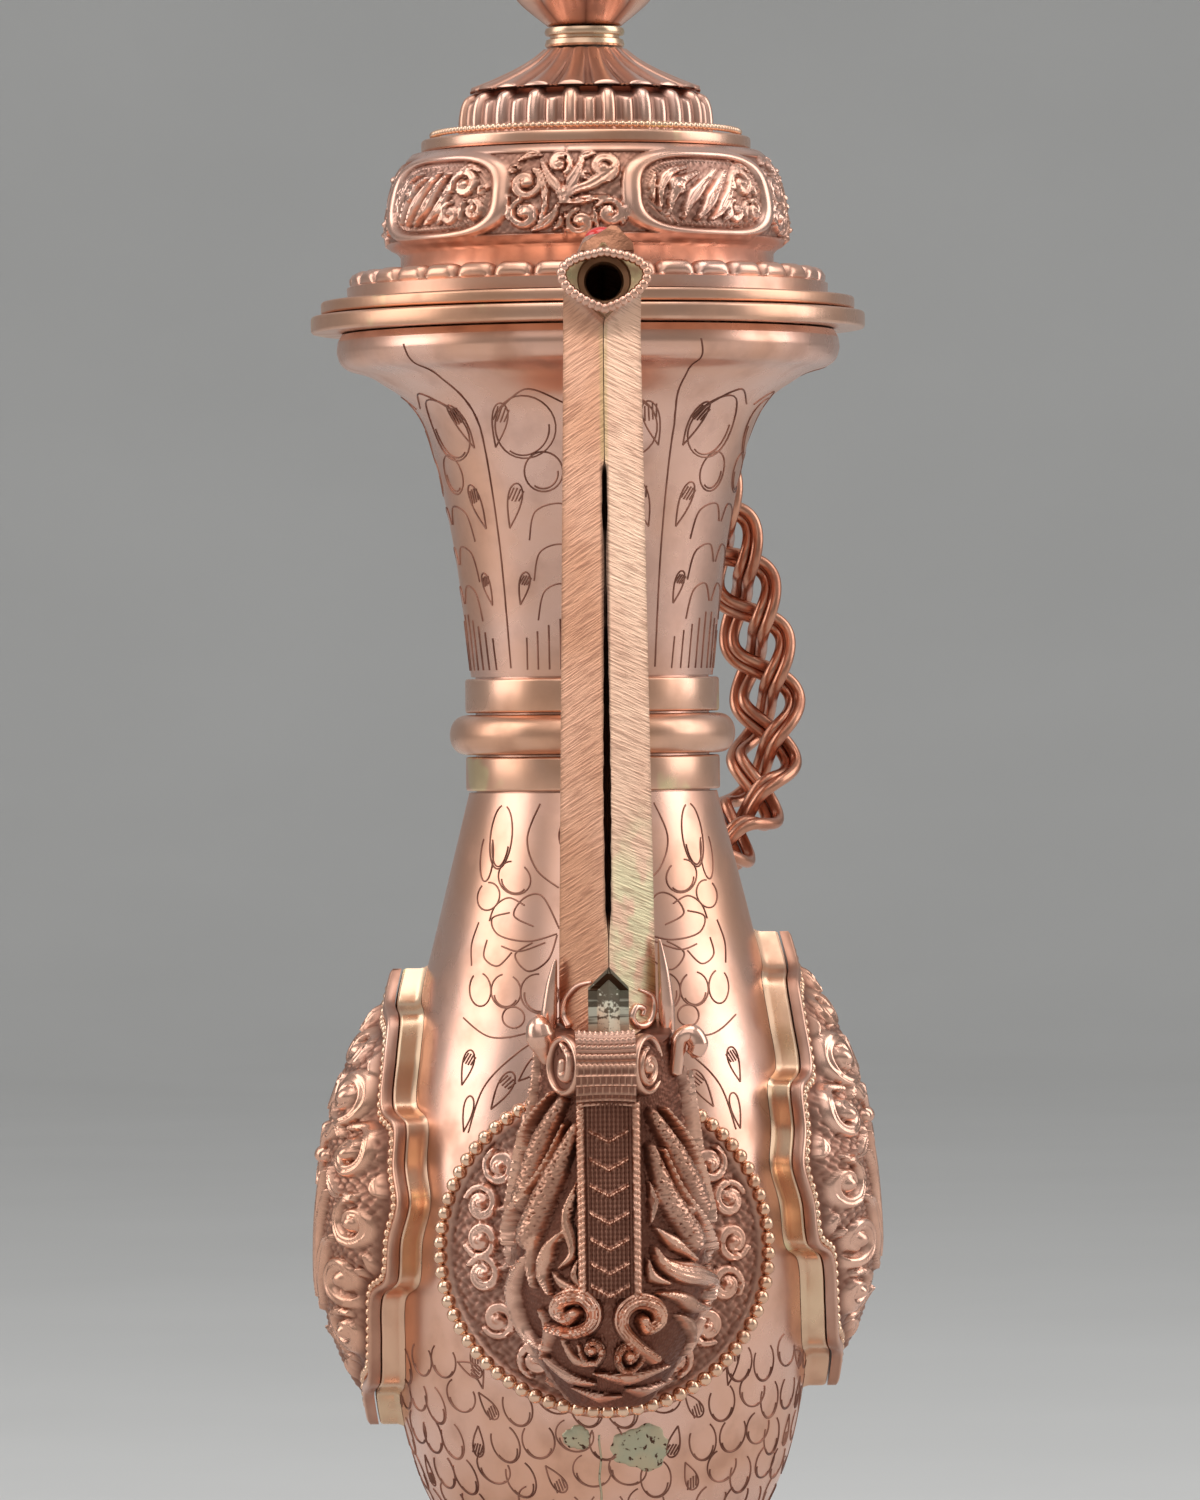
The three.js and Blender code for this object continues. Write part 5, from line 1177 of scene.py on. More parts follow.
# The trunk: a roll across the head's top, tied with rope bands above and brick bands below, its
# two ends flattened into scrolls. Small curls stand beside it and on the spout's foot.
TRUNK_CENTRE = np.array([-0.8, -67.0, 122.4])
TRUNK_RADIUS = 5.5
along = np.linspace(-4.7, 4.7, 70)[:, None]
turn = turns(260)[None, :]
raised = np.zeros_like(along + turn)
for k, degree in enumerate(range(-88, 89, 16)):
    off = (np.degrees(turn) + 180 - degree) % 360 - 180
    if degree > 0:
        bead = 0.75 + 0.35 * np.sin(2 * math.pi * (along / 0.85 + off / 18))
        band = 0.5 * bell(off, 3.4) * bead
        band = np.maximum(band, 0.3 * bell(off - 7.4, 1.4))
    else:
        tick = np.cos(2 * math.pi * (along + 0.5 * (k % 2))) > 0.72
        band = 0.34 * bell(off, 1.7) + 0.16 * tick * (np.abs(off - 8) < 6.2)
    raised = np.maximum(raised, band)
around = TRUNK_RADIUS + 0.3 * (along / 4.7) ** 2 + raised
roll = np.stack([along + 0 * turn, -around * np.cos(turn), around * np.sin(turn)], -1)
trunk = wrapped("makara_trunk", TRUNK_CENTRE + roll, held(0.8 - raised * 2.2), 50)
finished(trunk, "vessel", "cast_copper", cast_copper)


def trunk_end(name, centre, facing, strands, pits):
    """A flat round boss with a scroll on its face, turned to look along facing."""
    facing = unit(np.array(facing, float))
    aside = np.cross([0, 0, 1.0], facing)
    turn = turns(150)[None, :]
    reach = np.linspace(0, 4.9, 50)[:, None]
    u, v = reach * np.cos(turn), reach * np.sin(turn)
    lift = np.maximum(carved(u, v, strands), 0.9 * rounded(reach - 4.3, 0.6))
    lift -= pitted(u, v, pits, 0.2, 0.4, 0.55)
    shade = held(0.9 - lift * 1.1)
    u, v = [np.concatenate([w, w[-1:] * 1.02, w[-1:] * 0.9, 0 * w[-1:]]) for w in (u, v)]
    lift = np.concatenate([lift, lift[-1:] - 0.8, lift[-1:] - 2.6, lift[-1:] - 2.6])
    shade = np.concatenate([shade, shade[-1:] * 0, shade[-3:-1]])
    points = centre + u[..., None] * aside + v[..., None] * [0, 0, 1] + lift[..., None] * facing
    finished(wrapped(name, points, shade, 60), "vessel", "cast_copper", cast_copper)


left_line = [(-0.4, 3.4), (1.6, 1.4), (1.0, -1.6), (-0.8, -1.4), (-0.6, 0.4)]
left_scroll = [[left_line, (0.5, 0.9, 0.9), 0.9, 0]]
right_scroll = curl(0.2, -0.4, 3.1, 100, 1.3, 0.85, 1.0, 18)
stipple = [(-2.6, 1.6), (-1.2, 2.6), (0.4, 2.8), (2.2, 2.0)]
trunk_end("trunk_end_left", (-7.0, -67.2, 123.0), (-0.87, -0.5, 0.05), left_scroll, stipple)
trunk_end("trunk_end_right", (5.6, -67.2, 123.0), (0.87, -0.5, 0.05), right_scroll, stipple)


HORN_FACETS = 18


def rolled(name, line, radii, steps=40):
    """A closed horn-like roll of changing thickness along a smooth line."""
    line = spline(line, steps)
    radii = np.interp(np.linspace(0, 1, steps + 1), np.linspace(0, 1, len(radii)), radii)
    run = directions(line)
    side = unit(np.cross(run, [0.13, -0.97, 0.21]))
    front = np.cross(run, side)
    turn = turns(HORN_FACETS)[:, None]
    around = np.cos(turn) * side[:, None] + np.sin(turn) * front[:, None]
    rows = line[:, None] + radii[:, None, None] * around
    first, last = [line[i] + run[i] * radii[i] * s for i, s in ((0, -0.6), (-1, 0.6))]
    rows = [np.tile(first, (1, HORN_FACETS, 1)), rows, np.tile(last, (1, HORN_FACETS, 1))]
    finished(wrapped(name, np.concatenate(rows), None, 70), "vessel", "cast_copper", cast_copper)


def on_spout(x, z):
    """A place just off one of the spout's two front faces."""
    distance = (z - SPOUT_FOOT) / math.cos(LEAN)
    out = SPOUT_DISTANCE + distance * math.sin(LEAN) + spout_half(distance)
    return (x, -(out - abs(x)) - 0.2, z)


left_knob = [(-9.4, -62.0, 123.6), (-10.2, -63.0, 126.0)]
left_knob += [(-10.9, -63.4, 128.2), (-11.0, -63.2, 130.6)]
rolled("left_knob", left_knob, [1.2, 1.6, 2.2, 2.4, 2.0, 0.9])
hooked = [(10.4, 121.4), (10.8, 124.6), (11.3, 127.0), (13.0, 127.6), (14.0, 126.0), (13.4, 124.4)]
rolled("right_curl", [(x, -62.4, z) for x, z in hooked], [1.1, 1.2, 1.3, 1.6, 1.7, 1.2], 60)
comma = [(-2.7, 136.0), (-4.8, 135.3), (-6.5, 133.3), (-7.0, 130.9), (-6.2, 128.9)]
rolled("foot_comma", [on_spout(x, z) for x, z in comma], [0.25, 0.5, 0.6, 0.7])
hook = [(5.0, 134.6), (6.9, 133.6), (7.3, 131.6), (6.4, 129.3), (4.6, 129.0), (3.7, 130.4)]
hook += [(4.4, 131.9), (5.6, 131.6), (5.4, 130.6)]
rolled("foot_hook", [on_spout(x, z) for x, z in hook], [0.25, 0.6, 0.6, 0.55, 0.45], 70)
for name, side, length in (("left", -1, 13.0), ("right", 1, 16.0)):
    flank = [
        (side * (9.4 - 1.2 * t**2), -58.6 - 1.6 * t, 126.5 + length * t) for t in (0, 0.35, 0.7, 1)
    ]
    rolled("flank_leaf_" + name, flank, [1.3, 1.3, 0.9, 0.2])

# The handle: six drawn copper wires laid in pairs and plaited as three strands, bent into a bow
# and soldered at both ends to pads on the neck and on the shoulder.
HANDLE_TURN = math.radians(38)
HANDLE_REACH = 50.35
HANDLE_BOTTOM = 151.5
HANDLE_RISE = 70
UPPER_STANDOFF = 3.8
LOWER_STANDOFF = 4.6
PLAIT_CYCLES = 2.75
PLAIT_HALF_WIDTH = 4.8
PLAIT_HALF_DEPTH = 2.6
WIRE_RADIUS = 1.0

upper_end = wall_radius(neck_side, HANDLE_BOTTOM + HANDLE_RISE) + UPPER_STANDOFF
lower_end = wall_radius(belly_side, HANDLE_BOTTOM) + LOWER_STANDOFF
# The bow from its upper end down: where it starts, its share of the way out, and of the rise.
bow = [(upper_end, 0, 1), (upper_end, 0.26, 0.88), (upper_end, 0.68, 0.68)]
bow += [(lower_end, 1, 0.4), (lower_end, 0.84, 0.19), (lower_end, 0.4, 0.06), (lower_end, 0, 0)]
bow_points = []
for end, out, up in bow:
    reach = end + (HANDLE_REACH - end) * out
    x, y = reach * math.sin(HANDLE_TURN), reach * math.cos(HANDLE_TURN)
    bow_points.append((x, y, HANDLE_BOTTOM + HANDLE_RISE * up))
bow_line = spline(bow_points, 600)
share = np.linspace(0, 1, 260)
bow_points = spread(bow_line, share * run_along(bow_line)[-1])
bow_along = directions(bow_points)
bow_across = np.array([math.cos(HANDLE_TURN), -math.sin(HANDLE_TURN), 0])
bow_away = unit(np.cross(bow_across, bow_along))


def plait_strand(strand):
    """The middle line of a strand, which swings to both sides once for each two swings of depth."""
    turn = 2 * math.pi * (PLAIT_CYCLES * share + strand / 3)[:, None]
    across = PLAIT_HALF_WIDTH * np.sin(turn) * bow_across
    return bow_points + across + PLAIT_HALF_DEPTH * np.sin(2 * turn) * bow_away


def swept_wire(material):
    """A round wire along each path."""
    tree = Nodes("wire_" + material.name, [("Radius", "Float", 0.001), ("Sides", "Int", 12)])
    sides, radius = tree.size("Sides"), tree.size("Radius")
    section = tree.node("CurvePrimitiveCircle", Resolution=sides, Radius=radius)
    path = tree.given.outputs[0]
    wire = tree.node("CurveToMesh", Curve=path, Profile_Curve=section, Fill_Caps=True)
    return tree.end(wire, material)


copper_wire, shader, place = start_material("copper_wire")
cloud = place.noise(90, 4).between(0.3, 0.7)
film = place.noise(320, 4).between(0.45, 0.75)
colour = cloud.mixed((0.66, 0.33, 0.22, 1), (0.50, 0.22, 0.14, 1))
colour = (film * 0.4).mixed(colour, (0.26, 0.10, 0.07, 1))
metal(copper_wire, shader, colour, 0.28 + film * 0.18, place.noise(1600, 2) * 0.000012)
round_wire = swept_wire(copper_wire)
for strand in range(3):
    line = plait_strand(strand)
    beside_line = unit(np.cross(directions(line), bow_away)) * WIRE_RADIUS
    wires = [line + beside_line, line - beside_line]
    name = f"plait_strand_{strand + 1}"
    piece = grown(name, wires, round_wire, Radius=WIRE_RADIUS * MM, Sides=14)
    finished(piece, "vessel", "copper_wire", copper_wire, f"handle_strand_{strand + 1}")

PAD_HALF_WIDTH = 7.6
PAD_HALF_DEPTH = 4.8


def handle_pad(name, index, inwards, wall_line, standoff):
    """A pad from the plait's end to the wall behind it, hollowed in its middle by the solder."""
    turn = turns(48)[:, None]
    edge = bow_across * PAD_HALF_WIDTH * np.cos(turn)
    edge = edge + bow_away[index] * PAD_HALF_DEPTH * np.sin(turn)

    def ring(depth, scale):
        return bow_points[index] + bow_along[index] * inwards * depth + edge * scale

    def onto_wall(scale):
        x, y, z = ring(standoff, scale).T
        reach = (wall_radius(wall_line, z) + 0.1) / np.hypot(x, y)
        return np.stack([x * reach, y * reach, z], -1)

    rows = [ring(0.25, 0.0), ring(0.25, 0.62), ring(0.3, 0.8), ring(0.7, 0.9), ring(1.3, 0.93)]
    rows += [ring(standoff * 0.55, 0.93), onto_wall(1.0), onto_wall(0.5), onto_wall(0.0)]
    finished(wrapped(name, np.array(rows), None, 50), "vessel", "cast_copper", cast_copper, name)


handle_pad("handle_upper_seat", -1, 1, neck_side, UPPER_STANDOFF)
handle_pad("handle_lower_seat", 0, -1, belly_side, LOWER_STANDOFF)

# The chasing: framed panels on the neck, leaf sprays and petals on the belly, cut with a liner
# punch before the parts are joined. Each line is a fine dark bead sunk half into the sheet, its
# darkness the patina in a chased groove and painted shade of the groove.
NECK_PANELS = 5
PANEL_HALF = 0.628  # half of a panel's turn, in radians


def on_wall(wall_line, azimuth, stroke, lift=0.0):
    """A stroke of (sideways, height) pairs laid on a turned wall round an azimuth in degrees."""
    u, v = np.asarray(stroke, float).T
    radius = wall_radius(wall_line, v)
    return polar(radius + lift, math.radians(azimuth) + u / radius, v)


def leaned(stroke, x, z, lean):
    """A stroke turned clockwise by lean degrees and moved to x, z."""
    u, v = np.asarray(stroke, float).T
    c, s = math.cos(math.radians(lean)), math.sin(math.radians(lean))
    return np.stack([x + c * u + s * v, z - s * u + c * v], -1)


def oval(x, z, wide, high, lean=0, steps=30, opening=0.0):
    """An oval, open at its top by a share of half a turn on each side."""
    turn = np.linspace(opening * math.pi, (2 - opening) * math.pi, steps)
    return leaned(np.stack([wide * np.sin(turn), high * np.cos(turn)], -1), x, z, lean)


def teardrop(x, z, wide, high, lean, hatched=True):
    """A drop with a round head and a tail that hangs down from it, its head hatched."""
    turn = np.linspace(0, 2 * math.pi, 30)
    side = wide * np.sin(turn) * np.abs(np.sin(turn / 2)) ** 1.2
    strokes = [np.stack([side, -high * np.cos(turn)], -1)]
    for k in (-0.45, -0.1, 0.25, 0.6) if hatched else ():
        half, middle = 0.62 * wide * math.sqrt(1 - k * k), high * 0.5
        strokes.append([(k * wide - 0.3, middle - half), (k * wide + 0.3, middle + half)])
    return [leaned(stroke, x, z, lean) for stroke in strokes]


def sweep_line(*points):
    return spline(points, 7 * len(points))


neck_strokes = []
for panel in range(NECK_PANELS):
    middle = -7 + 360 / NECK_PANELS * panel
    strokes = [[(-PANEL_HALF * r - 3.5 * max(z - 226, 0) / 12, z) for r, z in neck_side[1:-6:2]]]
    for side in (-1, 1):
        for z, wide, high in ((225.0, 2.0, 3.6), (212.0, 1.8, 3.7), (198.6, 1.3, 2.7)):
            reach = PANEL_HALF * wall_radius(neck_side, z) - 3.9
            strokes += teardrop(side * reach, z, wide, high, -14 * side)
        strokes.append(oval(side * 8.4, 224.6, 5.4, 5.0))
        strokes.append(oval(side * 5.4, 217.4, 3.3, 3.2))
        strokes.append(sweep_line((side * 12.6, 227.6), (side * 7.4, 230.6), (side * 1.6, 228.4)))
        strokes.append(oval(side * 8.4, 224.2, 4.4, 4.0, 30 * side, 20, 0.62))
        strokes.append(oval(side * 5.4, 217.1, 2.5, 2.4, 30 * side, 16, 0.62))
        for z, reach in ((211.0, 6.4), (204.4, 5.8), (198.0, 5.2)):
            arch = [(reach + 1.8, z - 4.6), (reach + 0.6, z), (2.4, z + 1.2), (0.4, z - 1.6)]
            strokes.append(sweep_line(*beside(side, *arch)))
        for k in range(5):
            strokes.append([(side * (1.2 + 2.0 * k), 185.4), (side * (1.2 + 2.0 * k), 194.6 - k)])
    neck_strokes += [on_wall(neck_side, middle, stroke) for stroke in strokes]


def spray(side):
    """Petals that fan out from behind the spout, discs below them and drops down the belly."""
    strokes = [
        sweep_line((-6.6, 143.4), (-9.4, 148.6), (-12.6, 148.4), (-14.6, 145.6), (-11.0, 143.8)),
        sweep_line((-7.0, 142.6), (-12.0, 141.4), (-17.6, 142.4), (-19.0, 145.0), (-15.4, 146.0)),
        sweep_line((-7.0, 142.4), (-8.6, 138.4), (-12.0, 136.6), (-14.4, 139.2), (-11.2, 141.2)),
        sweep_line((-15.0, 139.6), (-17.8, 137.4), (-20.6, 138.8), (-20.0, 141.6)),
        oval(-10.2, 133.0, 3.3, 3.1, 30, opening=0.15),
        oval(-10.2, 132.6, 2.6, 2.4, 30, 16, 0.6),
        oval(-16.2, 133.4, 2.8, 2.7, 10, opening=0.12),
        oval(-16.2, 133.0, 2.2, 2.1, 10, 16, 0.6),
        oval(-21.4, 133.6, 2.3, 2.7, -10, opening=0.15),
        oval(-14.8, 129.2, 2.0, 1.7),
        oval(-14.6, 151.6, 3.2, 2.6, 20, opening=0.14),
        oval(-14.6, 151.2, 2.5, 2.0, 20, 16, 0.6),
        oval(-20.0, 148.6, 2.6, 2.2, -20, opening=0.1),
        oval(-17.4, 158.2, 2.4, 5.2, 8, opening=0.08),
        oval(-17.4, 157.6, 1.8, 4.2, 8, 20, 0.55),
        oval(-20.6, 155.0, 1.6, 4.0, 4, opening=0.25),
        sweep_line((-12.6, 147.2), (-15.6, 148.4), (-18.4, 147.0), (-19.6, 144.6)),
        sweep_line((-9.0, 141.2), (-13.6, 139.8), (-17.0, 140.6)),
        sweep_line((-22.0, 144.4), (-23.6, 140.8), (-23.4, 137.4)),
        sweep_line((-10.6, 129.6), (-7.6, 131.0), (-6.6, 134.4)),
        sweep_line((-9.6, 163.6), (-12.0, 158.0), (-10.4, 153.0), (-6.6, 150.0)),
        sweep_line((-4.0, 163.8), (-6.4, 158.6), (-4.8, 154.0)),
        sweep_line((-25.0, 129.0), (-19.0, 126.0), (-12.0, 126.8), (-6.4, 129.4)),
        sweep_line((-8.0, 127.0), (-14.0, 123.6), (-20.4, 118.0), (-23.6, 110.6)),
        sweep_line((-24.4, 104.0), (-25.6, 96.0), (-25.4, 88.0), (-23.4, 79.0)),
    ]
    for x, z, wide, high, lean in (
        (-11.4, 121.2, 1.7, 3.4, 50),
        (-17.0, 117.4, 1.7, 3.6, 35),
        (-15.4, 126.0, 0.1, 0.1, 0),
        (-24.0, 121.0, 1.6, 3.0, 20),
        (-23.8, 113.6, 1.4, 3.0, 15),
        (-24.6, 100.0, 1.4, 3.2, 4),
        (-25.4, 91.4, 1.4, 3.2, 0),
        (-24.6, 82.6, 1.4, 3.2, -6),
        (-22.0, 72.6, 1.6, 3.4, -14),
    ):
        strokes += teardrop(x, z, wide, high, lean, wide > 1.5)
    return [stroke * [-side, 1] for stroke in strokes]


belly_strokes = []
for azimuth in (0, 180):
    for side in (-1, 1):
        belly_strokes += [on_wall(belly_side, azimuth, stroke) for stroke in spray(side)]
FLOWER_HEIGHT = 96
back_flower = []
for petal in range(10):
    lean = 36 * petal
    x, z = 9.6 * math.sin(math.radians(lean)), FLOWER_HEIGHT + 9.6 * math.cos(math.radians(lean))
    back_flower += teardrop(x, z, 2.7, 5.2, lean, False)
    back_flower.append(leaned([(0, -3.6), (0, 3.0)], x, z, lean))
back_flower += [oval(0, FLOWER_HEIGHT, reach, reach, 0, 60) for reach in (3.6, 4.1, 18.0)]
belly_strokes += [on_wall(belly_side, 180, stroke) for stroke in back_flower]
half_arch = [(3.0, 34.5), (4.3, 39.0), (3.7, 43.6)]
arch = [*beside(-1, *half_arch), (0, 46.6), *half_arch[::-1]]
inner = [(0.62 * x, 34.5 + 0.8 * (z - 34.5)) for x, z in arch]
for petal in range(16):
    for stroke in (sweep_line(*arch), sweep_line(*inner)):
        belly_strokes.append(on_wall(belly_side, 22.5 * petal, stroke))
for row, (z, count) in enumerate(((49.8, 30), (55.4, 34), (61.2, 36), (67.2, 36), (73.2, 36))):
    for k in range(count):
        swell = math.sin(2.3 * k + 1.7 * row)
        wide, high, x, lean = 2.8 + 0.4 * swell, 3.0 - 0.4 * swell, 0.5 * swell, 26 * swell
        strokes = [oval(x, z + swell, wide, high, lean, opening=0.27)]
        strokes.append(oval(x, z + swell - 0.5, wide * 0.8, high * 0.8, lean, 16, 0.62))
        if k % 5 == 2:
            strokes = teardrop(0, z - 0.6, 1.5, 2.6, 150 + 40 * swell)
        azimuth = 360 * (k + 0.5 * (row % 2)) / count
        belly_strokes += [on_wall(belly_side, azimuth, stroke) for stroke in strokes]

# The lines' dark brown is partly patina and partly painted shade that stands for the groove.
chased_line, shader, place = start_material("chased_line")
worn = place.noise(160, 3).between(0.35, 0.65)
colour = worn.mixed((0.20, 0.085, 0.06, 1), (0.42, 0.21, 0.15, 1))
metal(chased_line, shader, colour, worn * 0.2 + 0.38)
line_bead = swept_wire(chased_line)
for name, strokes in (("neck_chasing", neck_strokes), ("belly_chasing", belly_strokes)):
    chased = grown(name, strokes, line_bead, Radius=0.00016, Sides=5)
    finished(chased, "vessel", "sheet_copper", chased_line)

# The belly's seam below the front medallion, and the blobs where its solder ran out: dull
# greenish solder with dark pits.
solder_metal, shader, place = start_material("solder_metal")
cloud = place.noise(260, 4).between(0.35, 0.65)
pits = place.noise(900, 2).between(0.60, 0.66)
colour = cloud.mixed((0.46, 0.43, 0.30, 1), (0.56, 0.47, 0.32, 1))
colour = pits.mixed(colour, (0.10, 0.05, 0.035, 1))
metal(solder_metal, shader, colour, cloud * 0.1 + 0.4, cloud * 0.0001 - pits * 0.0001)
seam = [on_wall(belly_side, -2, [(0.15 * math.sin(z), z) for z in np.linspace(62, 33, 40)])]
belly_seam = grown("belly_seam", seam, swept_wire(solder_metal), Radius=0.0002, Sides=6)
finished(belly_seam, "vessel", "brass_sheet", solder_metal)
for k, (x, z, wide, high) in enumerate(((5.6, 59.8, 4.8, 3.7), (-4.8, 61.6, 2.3, 2.0))):
    t = turns(60)[:, None]
    ragged = 1 + 0.08 * np.sin(3 * t + k) + 0.05 * np.sin(5 * t + 2 * k) + 0.04 * np.sin(11 * t)
    edge = oval(0, 0, wide, high, 10 * k, 61)[:-1] * ragged
    rings = [
        on_wall(belly_side, 0, edge * math.sin(swell) + [x, z], 0.3 * math.cos(swell))
        for swell in np.linspace(0, math.pi, 13)
    ]
    blob = wrapped(f"solder_blob_{k + 1}", np.array(rings), None, 60)
    finished(blob, "vessel", "brass_sheet", solder_metal)

# The petal ring on the lid: a disc whose upper edge is chased into a row of small pillows.
PILLOWS = 36


def pillows(radius, height, turn):
    across = off_middle(turn, PILLOWS, 0.5)
    raised = held((height - 248.7) / 0.7) * held((radius - 31.6) / 1.5)
    gap = raised * across**5
    low = raised * (1 - 0.55 * held((radius - 33.5) / 2))
    return radius - gap, height - gap - 0.35 * low * raised, 0.7 * gap


pillow_side = [(31.0, 246.5), (39.5, 246.5), (39.6, 248.4), (39.0, 248.7), (39.2, 249.3)]
pillow_side += [(39.2, 250.0), (38.7, 250.7), (37.9, 251.1), (36.8, 251.1), (35.6, 250.8)]
pillow_side += [(34.6, 250.5), (33.5, 250.4), (32.2, 250.6), (31.0, 250.6)]
petal_ring = turned("petal_ring", pillow_side, PILLOWS * 16, pillows, 55)
finished(petal_ring, "lid", "sheet_copper", sheet_copper, "lid_petal_ring")

# The drum: one sheet of copper chased from behind with four framed cartouches of leaves and a
# panel of scrolls between them. The strands stand more than a millimetre proud of the ground.
DRUM_MIDDLE = 262.2
CELL_TURN = math.radians(8)
CELL_RADIUS = 32.5

scroll_panel = [
    *curl(-6.6, 1.6, 2.7, 60, -1.2),
    *curl(-6.6, -3.6, 2.5, 110, 1.2),
    *curl(-1.0, 5.0, 2.0, -60, 1.1),
    *curl(6.4, 4.2, 2.5, -100, 1.2),
    *curl(2.4, -5.2, 2.2, 100, 1.2),
    *curl(7.2, -3.6, 2.3, 150, -1.2),
    *leaf([(-0.6, -1.9), (1.6, 0.2), (4.8, 1.5), (8.6, 4.6), (7.6, 6.4)]),
    *leaf([(-0.6, -1.9), (0.4, 0.8), (1.8, 3.2), (3.0, 6.0)], 1.35),
    *leaf([(-0.6, -1.9), (-1.2, 0.6), (-2.6, 2.6), (-4.2, 5.6)], 1.08),
    *leaf([(-0.6, -1.9), (1.8, -1.6), (4.2, -1.2), (7.0, -0.8)], 0.94),
    *leaf([(-1.0, -2.0), (-2.0, -4.0), (-3.6, -5.6), (-5.4, -6.4)], 1.08),
    *leaf([(-4.2, -5.4), (-3.2, -2.0), (-3.6, 1.8), (-4.6, 4.2)], 0.81),
    *leaf([(2.2, 5.6), (3.4, 6.4), (5.0, 6.6)], 0.9),
    *leaf([(-4.4, 6.4), (-6.2, 6.6), (-8.2, 5.6)], 0.9),
    *leaf([(-9.4, -0.4), (-9.8, -2.4), (-9.2, -4.6)], 0.8),
    *leaf([(9.8, -1.0), (9.9, -3.4), (9.2, -5.6)], 0.9),
    *leaf([(4.6, -2.8), (4.8, -4.4), (5.2, -6.2)], 0.7),
    *leaf([(-0.6, -4.0), (-0.8, -5.4), (-1.8, -6.4)], 0.7),
    *leaf([(9.9, 3.2), (10.0, 1.6), (9.6, 0.2)], 0.8),
    *curl(3.6, 2.7, 0.9, 0, 1.0, 0.4, 0.8),
    *curl(-8.9, 4.0, 0.9, 0, 1.0, 0.4, 0.8),
    *curl(0.4, -6.4, 0.8, 0, 1.0, 0.4, 0.8),
]
cartouche = [
    *leaf([(-10.0, -3.2), (-9.6, 0.6), (-7.6, 3.4), (-4.4, 4.2)], 1.04),
    *leaf([(-8.6, -4.0), (-7.6, -0.8), (-5.6, 1.8), (-2.4, 3.4)], 1.17),
    *leaf([(-6.0, -4.4), (-4.6, -1.6), (-2.4, 0.8), (1.0, 4.0)], 1.30, 1.3),
    *leaf([(-3.4, -4.6), (-1.4, -2.4), (0.6, 0.4), (3.4, 3.8)], 1.30, 1.4),
    *leaf([(-0.8, -4.6), (1.4, -3.0), (3.4, -0.4), (5.2, 3.2)], 1.17, 1.2),
    *curl(7.4, 1.8, 2.6, 200, -1.2, 0.9, 1.1),
    *curl(5.0, -3.0, 1.9, 90, 1.1, 0.8, 1.0),
    *curl(9.6, -2.6, 1.7, 120, -1.1, 0.8, 1.0),
    *curl(-6.4, 1.0, 1.5, 30, 1.1, 0.8, 1.2),
    *leaf([(5.6, 3.8), (8.0, 4.9), (10.2, 4.0)], 0.8),
    *leaf([(2.2, -4.7), (3.4, -3.4), (3.6, -1.8)], 0.8),
    *leaf([(7.4, -4.6), (7.2, -2.6), (7.8, -1.0)], 0.8),
    *leaf([(-11.0, -1.6), (-11.2, 0.8), (-10.4, 3.2)], 0.8),
    *curl(11.2, 0.6, 1.0, 0, 1.0, 0.5, 0.9),
]
FRAME_HALF = (14.6, 6.9)
FRAME_POWER = 3.2
DRUM_SINK = 0.75


def drum_relief(radius, height, turn):
    """Frames with a rope inside, leaves in them and scrolls between them, on a grained ground."""
    cell = (turn + CELL_TURN + math.pi / 4) % (math.pi / 2) - math.pi / 4
    u, v = cell * CELL_RADIUS, (height - DRUM_MIDDLE) * 1.05
    from_frame = CELL_RADIUS * (math.pi / 4 - np.abs(cell)) * -np.sign(cell)
    wide, high = np.abs(from_frame / FRAME_HALF[0]), np.abs(v / FRAME_HALF[1])
    frame_share = (wide**FRAME_POWER + high**FRAME_POWER) ** (1 / FRAME_POWER)
    off_frame = (frame_share - 1) * 7
    outline = 1.25 * rounded(off_frame, 0.85)
    rope = 0.55 * rounded(off_frame + 1.5, 0.45)
    rope *= 0.65 + 0.35 * np.sin(from_frame * 7.5 + v * 7.5)
    inside = carved(from_frame, v, cartouche) * (frame_share < 0.86)
    between = carved(u, v, scroll_panel) * (frame_share > 1.1)
    border = rounded(np.abs(v) - 7.4, 0.6) * 0.7 * (frame_share > 1.02)
    ground = 0.1 + 0.1 * pebbled(u, v, 4.1, 2.3, 4.3, 3.1)
    lift = np.maximum.reduce([outline, rope, inside, between, border, ground])
    banded = (radius > 28.5) & (height > 254.3) & (height < 270.2)
    ease = held((height - 254.4) / 0.8) * held((269.9 - height) / 0.8)
    hollow = np.where(banded, held(0.78 - lift * 0.9) * ease, 0)
    return radius + np.where(banded, (lift - DRUM_SINK) * ease, 0), height, hollow


drum_wall = [(33.0, 255.4), (33.2, 258.5), (32.6, 262.8), (31.4, 266.6), (29.6, 269.3)]
drum_side = [(0, 246.5), (30.7, 246.5), (30.7, 250.0), (30.7, 253.4), (31.3, 254.1), (32.4, 254.6)]
drum_side += [*spline(drum_wall, 64), (28.7, 270.2), (0, 270.2)]
lid_drum = turned("drum", drum_side, 720, drum_relief, 50)
finished(lid_drum, "lid", "sheet_copper", sheet_copper, "lid_drum")

# The plate on the drum, filed at its edge, with a row of soldered beads, and the lotus crown:
# twenty tall petals with a small one between each two, chased from one sheet.
top_plate = turned("top_plate", eased([(0, 270.5), (27.1, 270.5), (27.1, 272.6), (0, 272.6)], 0.5))
finished(top_plate, "lid", "brass_sheet", rim_copper, "lid_top_plate")
bead_line = polar(25.2, turns(180), 273.5)
lid_beads = grown(
    "lid_beads", [bead_line], brass_beads, True, Count=150, Radius=0.00056, Wire=0.0004
)
finished(lid_beads, "lid", "brass_sheet", rim_copper, "lid_bead_ring")

CROWN_PETALS = 20


